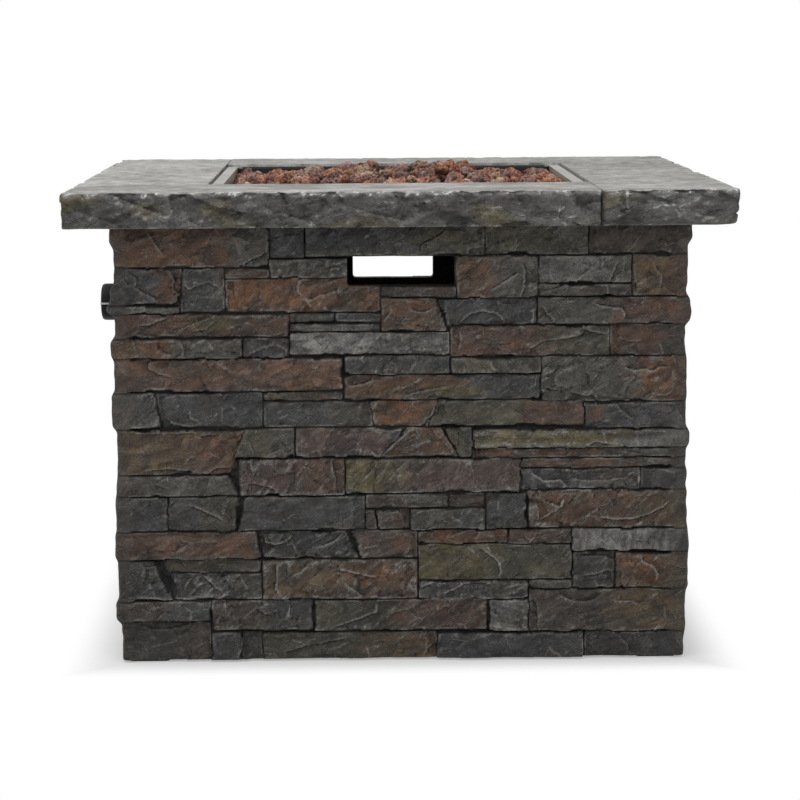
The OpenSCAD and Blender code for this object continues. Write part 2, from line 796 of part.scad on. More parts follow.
// Place where rock i, j of a layer touches its next neighbour along X (k = 1) or Y (k = 2). Rocks on the
// layer's edge touch the pan.
function rock_touch(i, j, k, rows, mid) =
    let (cell = pan_w / rows,
         inner = k == 1 ? i >= 0 && i < rows - 1 : j >= 0 && j < rows - 1,
         shift = inner ? 0.14 * cell * spread(i, j, k) : 0,
         slide = 0.12 * cell * spread(i, j, k + 2),
         x = (i + 0.5) * cell - pan_w / 2,
         y = (j + 0.5) * cell - pan_w / 2)
    k == 1 ? [x + cell / 2 + shift, y + slide, mid] : [x + slide, y + cell / 2 + shift, mid];

// One rock: a belt of eight corners through its four touching points, with four corners above and below
module rock(i, j, rows, low, high, layer) {
    mid = (low + high) / 2;
    belt_z = (low + min(high, rock_edge)) / 2;
    e = rock_touch(i, j, 1, rows, belt_z) - [rock_gap / 2, 0, 0];
    w = rock_touch(i - 1, j, 1, rows, belt_z) + [rock_gap / 2, 0, 0];
    n = rock_touch(i, j, 2, rows, belt_z) - [0, rock_gap / 2, 0];
    s = rock_touch(i, j - 1, 2, rows, belt_z) + [0, rock_gap / 2, 0];
    c = (e + w + n + s) / 4;
    sides = [e, n, w, s];
    cell = pan_w / rows;
    low_x = i * cell - pan_w / 2 + rock_gap / 2;
    low_y = j * cell - pan_w / 2 + rock_gap / 2;
    high_x = low_x + cell - rock_gap;
    high_y = low_y + cell - rock_gap;
    // Corner k lies between side k and the next side, inside the rock's own cell
    corner = [for (k = [0 : 3])
        let (reach = 0.8 + 0.14 * spread(i + layer, j, k + 5),
             p = c + reach * (sides[k] + sides[(k + 1) % 4] - 2 * c))
        [max(low_x, min(high_x, p.x)), max(low_y, min(high_y, p.y)), p.z]];
    belt = [for (k = [0 : 3]) each [sides[k], corner[k] + [0, 0, 3 * spread(i, j + layer, k + 9)]]];
    shrink_up = 0.55 + 0.2 * hash(i, j, 13 + layer);
    shrink_low = 0.6 + 0.14 * hash(i, j, 14 + layer);
    crown_drop = 0.35 * (high - mid);
    root_rise = 1.5;
    crown = [for (k = [0 : 3]) let (p = c + shrink_up * (corner[k] - c))
        [p.x, p.y, high - crown_drop * hash(i, j, k + 15)]];
    root = [for (k = [0 : 3]) let (p = c + shrink_low * (corner[k] - c))
        [p.x, p.y, low + root_rise * hash(i, j, k + 19)]];
    points = concat(belt, crown, root, [[c.x, c.y, high]], [[c.x, c.y, low]]);
    faces = concat(
        [for (k = [0 : 3]) each let (b = 2 * k, o = b + 1, p = (b + 2) % 8, u = 8 + k, d = 12 + k,
                                     v = 8 + (k + 1) % 4, f = 12 + (k + 1) % 4)
            [[o, b, u], [p, o, u], [p, u, v], [b, o, d], [o, p, d], [p, f, d], [u, 16, v], [d, f, 17]]]);
    polyhedron(points, faces);
}

// Height of the heap over a rock of the upper layer
function heap_top(i, j) =
    let (t = (rock_rows - 1) / 2,
         r = min(1, norm([i - t, j - t]) / t))
    rock_edge + rock_heap * (1 - r * r) + rock_wave * hash(i, j, 31) - 2;

// Lower rocks leave room for ring, cross tube, hub and bracket
function bed_free(i, j) =
    let (cell = pan_w / bed_rows,
         x = (i + 0.5) * cell - pan_w / 2,
         y = (j + 0.5) * cell - pan_w / 2,
         room = 0.7 * cell,
         wide = 0.8 * cell)
    abs(norm([x, y]) - ring_d / 2) > tube_d / 2 + room
    && abs(y) > tube_d / 2 + wide
    && norm([x, y]) > hub_d / 2 + room
    && !(abs(x) < bracket_w / 2 + wide && abs(y - bracket_y) < bracket_d / 2 + wide);

module lava_rocks() {
    color("sienna") {
        for (i = [0 : rock_rows - 1], j = [0 : rock_rows - 1])
            rock(i, j, rock_rows, rock_z, heap_top(i, j), 0);
        for (i = [0 : bed_rows - 1], j = [0 : bed_rows - 1])
            if (bed_free(i, j)) rock(i, j, bed_rows, bed_z, bed_top, 40);
    }
}

// Controls

module control_panel() {
    color("dimgray") along_x(panel_x, panel_z, panel_t) difference() {
        rounded_square(panel_w, panel_h, panel_corner);
        translate([0, knob_z - panel_z]) circle(d = bonnet_d + 2 * screw_clear);
        translate([0, igniter_z - panel_z]) circle(d = igniter_d + 2 * screw_clear);
        for (x = [-1, 1], y = [-1, 1])
            translate([x * panel_screw_y, y * panel_screw_z]) circle(d = panel_screw_d + 2 * screw_clear);
    }
}

module panel_screws() {
    color("gainsboro") for (y = [-1, 1], z = [-1, 1])
        translate([panel_x, y * panel_screw_y, panel_z + z * panel_screw_z])
            rotate([0, -90, 0]) pan_screw(panel_screw_d, panel_screw_len);
}

// Screw with a low round head, driven in -Z from its head's seat at the origin
module pan_screw(d, len) {
    head_t = 0.5 * d;
    translate([0, 0, -len]) cylinder(d = d, h = len);
    difference() {
        cylinder(d = 1.9 * d, h = head_t);
        translate([0, 0, head_t / 2]) linear_extrude(head_t) hexagon(0.6 * d);
    }
}

module valve_body() {
    color("darkgray") difference() {
        union() {
            along_x(face_x, knob_z, valve_len) circle(d = valve_d);
            along_x(bonnet_end, knob_z, face_x - bonnet_end) circle(d = bonnet_d);
            along_x(face_x + valve_len, knob_z, outlet_len) circle(d = outlet_d);
            translate([port_x, 0, knob_z]) rotate([-90, 0, 0]) cylinder(d = port_boss_d, h = port_y);
            translate([port_x, port_y, knob_z]) sphere(d = port_ball_d);
            translate([port_x, port_y, knob_z - port_drop]) cylinder(d = port_boss_d, h = port_drop);
        }
        along_x(bonnet_end - over, knob_z, chamber_end + guide_len - bonnet_end + over)
            circle(d = stem_d + 2 * run_clear);
        along_x(chamber_x, knob_z, chamber_len) circle(d = chamber_d);
        along_x(chamber_end, knob_z, outlet_x - chamber_end + over) circle(d = outlet_bore);
        translate([port_x, stem_d, knob_z]) rotate([-90, 0, 0]) cylinder(d = flare_bore, h = port_y - stem_d);
        translate([port_x, port_y, knob_z - port_drop - over]) cylinder(d = flare_bore, h = port_drop + over);
    }
}

module valve_nut() {
    color("silver") along_x(panel_x - valve_nut_t, knob_z, valve_nut_t) difference() {
        hexagon(valve_nut_d);
        circle(d = bonnet_d + 2 * screw_clear);
    }
}

// Flare inlet that faces down, so that the hose comes up to it through the open base
module inlet_fitting() {
    color("goldenrod") translate([port_x, port_y, knob_z - port_drop]) rotate([180, 0, 0]) difference() {
        union() {
            linear_extrude(inlet_hex_t) hexagon(inlet_hex);
            translate([0, 0, inlet_hex_t]) cylinder(d = flare_d, h = flare_len);
        }
        translate([0, 0, -over]) cylinder(d = flare_bore, h = inlet_hex_t + flare_len + 2 * over);
    }
}

// Stem with a flat at its outer end for the knob
module stem_section(d) {
    intersection() {
        circle(d = d);
        translate([-d, -d]) square([2 * d, d + stem_flat + (d - stem_d) / 2]);
    }
}

module valve_stem() {
    flat_end = knob_boss_back;
    color("gainsboro") {
        along_x(stem_out, knob_z, flat_end - stem_out) stem_section(stem_d);
        along_x(flat_end, knob_z, stem_in - flat_end) circle(d = stem_d);
    }
}

module spring_cap() {
    color("goldenrod") along_x(chamber_x + seat_clear, knob_z, cap_t)
        ring_profile(chamber_d - 1, stem_d + 2 * run_clear);
}

// Wire along a helix about +X, from x = 0 to len over its outer faces, as one closed tube
module coil(mean_d, wire, len, turns) {
    steps = 12 * turns;
    sides = 6;
    rise = len - wire;
    points = [for (i = [0 : steps], k = [0 : sides - 1])
        let (a = 360 * turns * i / steps,
             b = 360 * k / sides,
             r = mean_d / 2 + wire / 2 * cos(b))
        [wire / 2 + rise * i / steps + wire / 2 * sin(b), r * cos(a), r * sin(a)]];
    last = steps * sides;
    walls = [for (i = [0 : steps - 1], k = [0 : sides - 1])
        let (p = i * sides + k, q = i * sides + (k + 1) % sides)
        each [[p, q, q + sides], [p, q + sides, p + sides]]];
    ends = [for (k = [1 : sides - 2]) each [[0, k + 1, k], [last, last + k, last + k + 1]]];
    polyhedron(points, concat(walls, ends));
}

module stem_spring() {
    start = chamber_x + 2 * seat_clear + cap_t;
    color("gainsboro") translate([start, 0, knob_z])
        coil(stem_d + spring_wire + 2, spring_wire, chamber_end - seat_clear - start, 5);
}

// Revolved about the knob's axis: radius across, distance behind the face up
module knob_section() {
    r = knob_d / 2;
    difference() {
        union() {
            square([r - knob_round, knob_len]);
            translate([0, knob_round]) square([r, knob_len - knob_round]);
            translate([r - knob_round, knob_round]) circle(knob_round);
        }
        difference() {
            translate([0, knob_skin]) square([r - knob_skin, knob_len]);
            square([knob_boss_d / 2, knob_boss_back - knob_face]);
        }
        translate([-r, -over]) square([r, knob_len + 2 * over]);
        translate([0, knob_boss_back - knob_face]) square([knob_boss_d, knob_len]);
    }
}

module knob_bar() {
    r = knob_d / 2;
    translate([knob_face + pointer_in, -r - pointer_proud, knob_z - pointer_w / 2])
        cube([pointer_len, pointer_d + pointer_proud, pointer_w]);
}

module control_knob() {
    color("black") difference() {
        translate([knob_face, 0, knob_z]) rotate([0, 90, 0]) rotate_extrude() knob_section();
        along_x(stem_out - seat_clear, knob_z, knob_len) stem_section(stem_d + 2 * run_clear);
        knob_bar();
    }
}

module knob_pointer() {
    color("white") knob_bar();
}

module igniter_housing() {
    color("black") difference() {
        union() {
            along_x(igniter_face, igniter_z, igniter_flange_t) circle(d = igniter_flange_d);
            along_x(igniter_face, igniter_z, igniter_len) circle(d = igniter_d);
        }
        along_x(igniter_face - over, igniter_z, spring_end - igniter_face + over)
            circle(d = button_d + 2 * run_clear);
        along_x(igniter_face, igniter_z, igniter_len - igniter_end_t) circle(d = cell_bore);
    }
}

module igniter_nut() {
    color("black") along_x(face_x, igniter_z, igniter_nut_t) difference() {
        hexagon(igniter_flange_d);
        circle(d = igniter_d + 2 * screw_clear);
    }
}

module igniter_battery() {
    color("darkorange") along_x(cell_x, igniter_z, cell_len) circle(d = cell_d);
}

module igniter_button() {
    color("firebrick") translate([button_back - button_len, 0, igniter_z]) rotate([0, 90, 0]) rotate_extrude()
        button_section();
}

// Revolved about the button's axis, with a rounded rim
module button_section() {
    r = button_d / 2;
    round = 2;
    square([r - round, button_len]);
    translate([0, round]) square([r, button_len - round]);
    intersection() {
        translate([r - round, round]) circle(round);
        square([r, button_len]);
    }
}

module button_spring() {
    color("gainsboro") translate([button_back + seat_clear, 0, igniter_z])
        coil(button_d - 3, button_spring_wire, spring_end - button_back - 2 * seat_clear, 3);
}

module sensor_bracket() {
    upright = 18;
    color("silver") difference() {
        union() {
            translate([-bracket_w / 2, bracket_y - bracket_d / 2, pan_floor])
                cube([bracket_w, bracket_d, bracket_t]);
            translate([-probe_pitch, bracket_y + bracket_d / 2 - bracket_t, pan_floor])
                cube([2 * probe_pitch, bracket_t, upright]);
        }
        translate([-probe_pitch / 2, bracket_y, pan_floor - over])
            cylinder(d = insulator_d + 2 * screw_clear, h = upright);
        translate([probe_pitch / 2, bracket_y, pan_floor - over])
            cylinder(d = sensor_d + 2 * screw_clear, h = upright);
        for (x = [-1, 1]) translate([x * bracket_screw_x, bracket_y, pan_floor - over])
            cylinder(d = bracket_screw_d + 2 * screw_clear, h = upright);
    }
}

module bracket_screws() {
    color("gainsboro") for (x = [-1, 1]) translate([x * bracket_screw_x, bracket_y, pan_floor + bracket_t])
        pan_screw(bracket_screw_d, bracket_screw_len);
}

module electrode_insulator() {
    color("white") translate([-probe_pitch / 2, bracket_y, probe_top - insulator_len])
        linear_extrude(insulator_len - probe_tail) ring_profile(insulator_d, electrode_d + 2 * screw_clear);
}

module spark_electrode() {
    color("silver") translate([-probe_pitch / 2, bracket_y, probe_top - insulator_len - probe_tail])
        cylinder(d = electrode_d, h = insulator_len + probe_tail);
}

module flame_sensor() {
    collar_t = 4;
    color("peru") translate([probe_pitch / 2, bracket_y, 0]) {
        translate([0, 0, probe_top - insulator_len]) cylinder(d = sensor_d, h = insulator_len);
        translate([0, 0, pan_floor + bracket_t]) cylinder(d = sensor_d + 4, h = collar_t);
    }
}

table_top();
front_wall();
back_wall();
left_wall();
right_wall();
corner_angles();
corner_screws();
top_cleats();
cleat_screws();
foot_pads();
burner_pan();
burner_ring();
burner_gasket();
burner_nut();
burner_elbow();
air_mixer();
gas_jet();
feed_pipe();
pipe_nuts();
lava_rocks();
control_panel();
panel_screws();
valve_body();
valve_nut();
inlet_fitting();
valve_stem();
spring_cap();
stem_spring();
control_knob();
knob_pointer();
igniter_housing();
igniter_nut();
igniter_battery();
igniter_button();
button_spring();
sensor_bracket();
bracket_screws();
electrode_insulator();
spark_electrode();
flame_sensor();
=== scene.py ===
"""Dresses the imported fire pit: stone walls, cast table top, lava rock, metalwork and a studio stage."""
import math

import bmesh
import bpy
import numpy as np
from mathutils import Matrix, Vector
from mathutils.geometry import convex_hull_2d


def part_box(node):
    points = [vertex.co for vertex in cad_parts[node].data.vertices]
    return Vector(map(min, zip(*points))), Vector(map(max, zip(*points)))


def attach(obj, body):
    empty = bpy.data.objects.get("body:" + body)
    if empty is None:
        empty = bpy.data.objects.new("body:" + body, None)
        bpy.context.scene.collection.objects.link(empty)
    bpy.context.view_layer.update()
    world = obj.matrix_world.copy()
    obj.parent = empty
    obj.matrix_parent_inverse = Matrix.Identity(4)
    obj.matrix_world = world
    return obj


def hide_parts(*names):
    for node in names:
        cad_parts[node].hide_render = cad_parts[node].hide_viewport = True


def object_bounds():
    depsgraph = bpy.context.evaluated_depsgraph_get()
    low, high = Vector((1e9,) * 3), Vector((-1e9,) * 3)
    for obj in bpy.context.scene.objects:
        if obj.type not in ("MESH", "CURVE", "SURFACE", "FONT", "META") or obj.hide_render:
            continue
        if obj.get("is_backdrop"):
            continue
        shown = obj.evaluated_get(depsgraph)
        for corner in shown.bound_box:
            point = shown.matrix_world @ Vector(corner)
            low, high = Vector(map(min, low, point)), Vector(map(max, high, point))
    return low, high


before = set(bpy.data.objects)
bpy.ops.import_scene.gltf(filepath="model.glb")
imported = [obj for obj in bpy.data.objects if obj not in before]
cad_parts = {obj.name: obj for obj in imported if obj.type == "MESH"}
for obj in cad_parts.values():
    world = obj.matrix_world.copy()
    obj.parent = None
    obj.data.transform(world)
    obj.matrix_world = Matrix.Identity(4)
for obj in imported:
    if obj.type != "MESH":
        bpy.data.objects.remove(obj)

bl_info = {
    "name": "Stacked-stone fire pit",
    "version": (1, 0, 0),
    "blender": (4, 5, 0),
    "location": "3D View > Sidebar > Fire pit",
    "description": "Dresses the fire pit's frame with stone, lava rock, metal and a studio stage",
    "category": "Object",
}

CAD_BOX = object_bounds()
MM = 0.001
BODY = "pit"

# Walls: turn about Z from the front wall, the corners at the wall's left and right end seen from outside, and
# the name of the finished piece.
WALLS = {
    "front_wall": (0, (0, 1), "stone_front"),
    "right_wall": (90, (1, 2), "stone_right"),
    "back_wall": (180, (2, 3), "stone_back"),
    "left_wall": (-90, (3, 0), "stone_left"),
}
MIRRORED_WALLS = ("left_wall", "right_wall")

# Corners of the top from the front left one round: rounding and how far the lower edge is broken off, in mm.
CORNERS = ((4.0, 0.0), (9.0, 12.0), (7.0, 4.0), (6.0, 3.0))
# Planks of the top from the front one round: how far the dark streaks cover them, more thickly on some planks
# as painted shade.
PLANK_SHADE = (0.66, 0.36, 0.34, 0.0)

# Surfaces of a stone: depth in mm of streaks, ledges, grain, layers and broken facets.
KINDS = {
    "slate": (0.15, 0.75, 0.12, 0.0, 0.90),
    "streak": (0.60, 0.90, 0.20, 0.0, 0.80),
    "grain": (0.25, 0.40, 0.70, 0.0, 0.60),
    "cleft": (0.25, 0.80, 0.25, 0.0, 2.00),
    "layer": (0.30, 0.60, 0.25, 1.30, 0.3),
    "rough": (0.80, 0.75, 0.80, 0.0, 1.00),
}

# Stones of the front by the place of their middles (mm across and up the wall): tint of the left part, tint
# of the right part, where the second tint starts, surface, slope of its streaks in degrees, light wear on it.
STONES = (
    (-257, 519, "rust", "grey", 0.72, "streak", 16, 0.5),
    (-140, 525, "slate", "slate", 1.0, "slate", 28, 0.4),
    (-7, 526, "slate", "moss", 0.62, "slate", 24, 0.4),
    (168, 526, "moss", "grey", 0.6, "slate", 30, 0.4),
    (292, 526, "umber", "umber", 1.0, "slate", 24, 0.3),
    (-313, 470, "slate", "clay", 0.6, "cleft", 32, 0.5),
    (-245, 465, "slate", "grey", 0.7, "layer", 20, 0.9),
    (-190, 486, "clay", "clay", 1.0, "streak", 10, 0.4),
    (-121, 458, "ochre", "rust", 0.6, "streak", 34, 0.7),
    (-113, 492, "grey", "slate", 0.7, "rough", 24, 0.9),
    (21, 474, "umber", "umber", 1.0, "slate", 14, 0.3),
    (21, 462, "umber", "clay", 0.7, "streak", 14, 0.4),
    (118, 480, "rust", "grey", 0.45, "streak", 30, 0.6),
    (227, 489, "ash", "grey", 0.8, "cleft", 26, 0.8),
    (227, 463, "grey", "umber", 0.5, "layer", 12, 0.5),
    (319, 481, "tan", "rust", 0.6, "streak", 30, 0.6),
    (-313, 442, "grey", "grey", 1.0, "rough", 12, 0.8),
    (-245, 422, "clay", "clay", 1.0, "streak", 28, 0.8),
    (-110, 430, "grey", "slate", 0.6, "layer", 10, 0.8),
    (-53, 430, "slate", "grey", 0.6, "layer", 10, 0.8),
    (16, 434, "rust", "clay", 0.7, "streak", 22, 0.6),
    (112, 437, "slate", "slate", 1.0, "slate", 26, 0.5),
    (260, 437, "grey", "clay", 0.5, "streak", 20, 0.5),
    (-275, 394, "ochre", "grey", 0.5, "cleft", 24, 0.6),
    (-167, 394, "slate", "slate", 1.0, "cleft", 24, 0.6),
    (-82, 418, "grey", "slate", 0.6, "layer", 8, 0.8),
    (-39, 398, "chalk", "ash", 0.6, "rough", 18, 1.3),
    (159, 400, "clay", "moss", 0.6, "streak", 24, 0.7),
    (305, 400, "clay", "umber", 0.7, "streak", 20, 0.4),
    (-212, 360, "clay", "rust", 0.7, "streak", 14, 0.6),
    (-5, 371, "slate", "slate", 1.0, "slate", 52, 0.7),
    (117, 370, "moss", "grey", 0.5, "slate", 130, 0.6),
    (263, 352, "grey", "rust", 0.68, "cleft", 34, 0.9),
    (50, 343, "rust", "slate", 0.56, "streak", 24, 0.6),
    (-122, 333, "tan", "umber", 0.8, "slate", 8, 0.3),
    (-325, 316, "grey", "slate", 0.6, "cleft", 40, 0.6),
    (-235, 316, "slate", "slate", 1.0, "slate", 20, 0.5),
    (-103, 310, "slate", "grey", 0.6, "streak", 20, 0.8),
    (0, 310, "ochre", "rust", 0.7, "streak", 16, 0.6),
    (130, 310, "moss", "clay", 0.62, "slate", 18, 0.4),
    (290, 306, "slate", "slate", 1.0, "slate", 22, 0.4),
    (-283, 263, "tan", "rust", 0.6, "streak", 22, 0.5),
    (-172, 275, "moss", "grey", 0.6, "slate", 24, 0.4),
    (-80, 275, "mauve", "slate", 0.84, "grain", 20, 1.0),
    (22, 275, "rust", "rust", 1.0, "streak", 26, 0.8),
    (79, 275, "moss", "moss", 1.0, "slate", 20, 0.3),
    (220, 278, "straw", "ash", 0.7, "layer", 4, 1.1),
    (220, 259, "rust", "grey", 0.6, "layer", 4, 0.7),
    (250, 246, "rust", "umber", 0.6, "layer", 4, 0.5),
    (-278, 221, "grey", "grey", 1.0, "slate", 16, 0.5),
    (-137, 232, "mauve", "clay", 0.6, "cleft", 50, 0.9),
    (38, 232, "straw", "mauve", 0.30, "streak", 44, 0.8),
    (222, 226, "slate", "grey", 0.6, "rough", 12, 0.9),
    (325, 226, "coal", "slate", 0.6, "slate", 20, 0.3),
    (-322, 186, "slate", "slate", 1.0, "cleft", 24, 0.4),
    (-249, 186, "slate", "moss", 0.5, "slate", 24, 0.3),
    (-126, 186, "slate", "slate", 1.0, "slate", 20, 0.5),
    (5, 200, "umber", "grey", 0.5, "streak", 8, 0.5),
    (-38, 177, "umber", "umber", 1.0, "slate", 20, 0.2),
    (-10, 177, "umber", "clay", 0.5, "slate", 30, 0.3),
    (57, 177, "grey", "slate", 0.6, "slate", 24, 0.4),
    (80, 200, "umber", "clay", 0.6, "streak", 16, 0.5),
    (130, 187, "slate", "slate", 1.0, "slate", 24, 0.3),
    (254, 188, "rust", "tan", 0.8, "cleft", 40, 0.8),
    (-263, 146, "clay", "rust", 0.6, "streak", 18, 0.5),
    (-114, 146, "slate", "slate", 1.0, "cleft", 30, 0.9),
    (-16, 146, "mauve", "rust", 0.6, "streak", 22, 0.6),
    (75, 154, "ochre", "ochre", 1.0, "streak", 10, 0.4),
    (172, 154, "clay", "umber", 0.8, "streak", 10, 0.4),
    (282, 149, "chalk", "ash", 0.8, "rough", 74, 1.1),
    (-320, 102, "slate", "slate", 1.0, "cleft", 36, 0.8),
    (-238, 119, "moss", "grey", 0.6, "slate", 10, 0.3),
    (-231, 93, "slate", "grey", 0.7, "cleft", 30, 1.1),
    (-78, 102, "tan", "rust", 0.5, "cleft", 40, 0.9),
    (115, 122, "straw", "moss", 0.5, "slate", 30, 0.5),
    (88, 86, "slate", "grey", 0.6, "rough", 24, 0.9),
    (185, 93, "umber", "umber", 1.0, "streak", 12, 0.4),
    (239, 110, "coal", "umber", 0.8, "slate", 20, 0.4),
    (309, 110, "ochre", "tan", 0.6, "cleft", 40, 0.5),
    (-296, 62, "umber", "slate", 0.5, "streak", 14, 0.5),
    (-176, 56, "umber", "slate", 0.5, "cleft", 26, 0.8),
    (-2, 55, "moss", "clay", 0.45, "streak", 40, 0.6),
    (132, 53, "ash", "grey", 0.7, "rough", -14, 1.2),
    (255, 60, "umber", "tan", 0.5, "streak", 18, 0.6),
    (-296, 24, "coal", "umber", 0.6, "slate", 16, 0.4),
    (-221, 18, "slate", "slate", 1.0, "slate", 30, 0.4),
    (-189, 18, "coal", "coal", 1.0, "slate", 20, 0.2),
    (-66, 17, "moss", "tan", 0.6, "streak", 16, 0.5),
    (135, 16, "slate", "slate", 1.0, "slate", 16, 0.4),
    (290, 16, "coal", "slate", 0.6, "slate", 20, 0.3),
)

# Patches of another colour on the front: middle across and up, half sizes (mm) and tint.
PATCHES = (
    (-235, 424, 34, 11, "straw"),
    (65, 338, 40, 8, "straw"),
    (318, 350, 22, 16, "ochre"),
    (-330, 395, 20, 12, "rust"),
    (240, 310, 14, 14, "clay"),
)

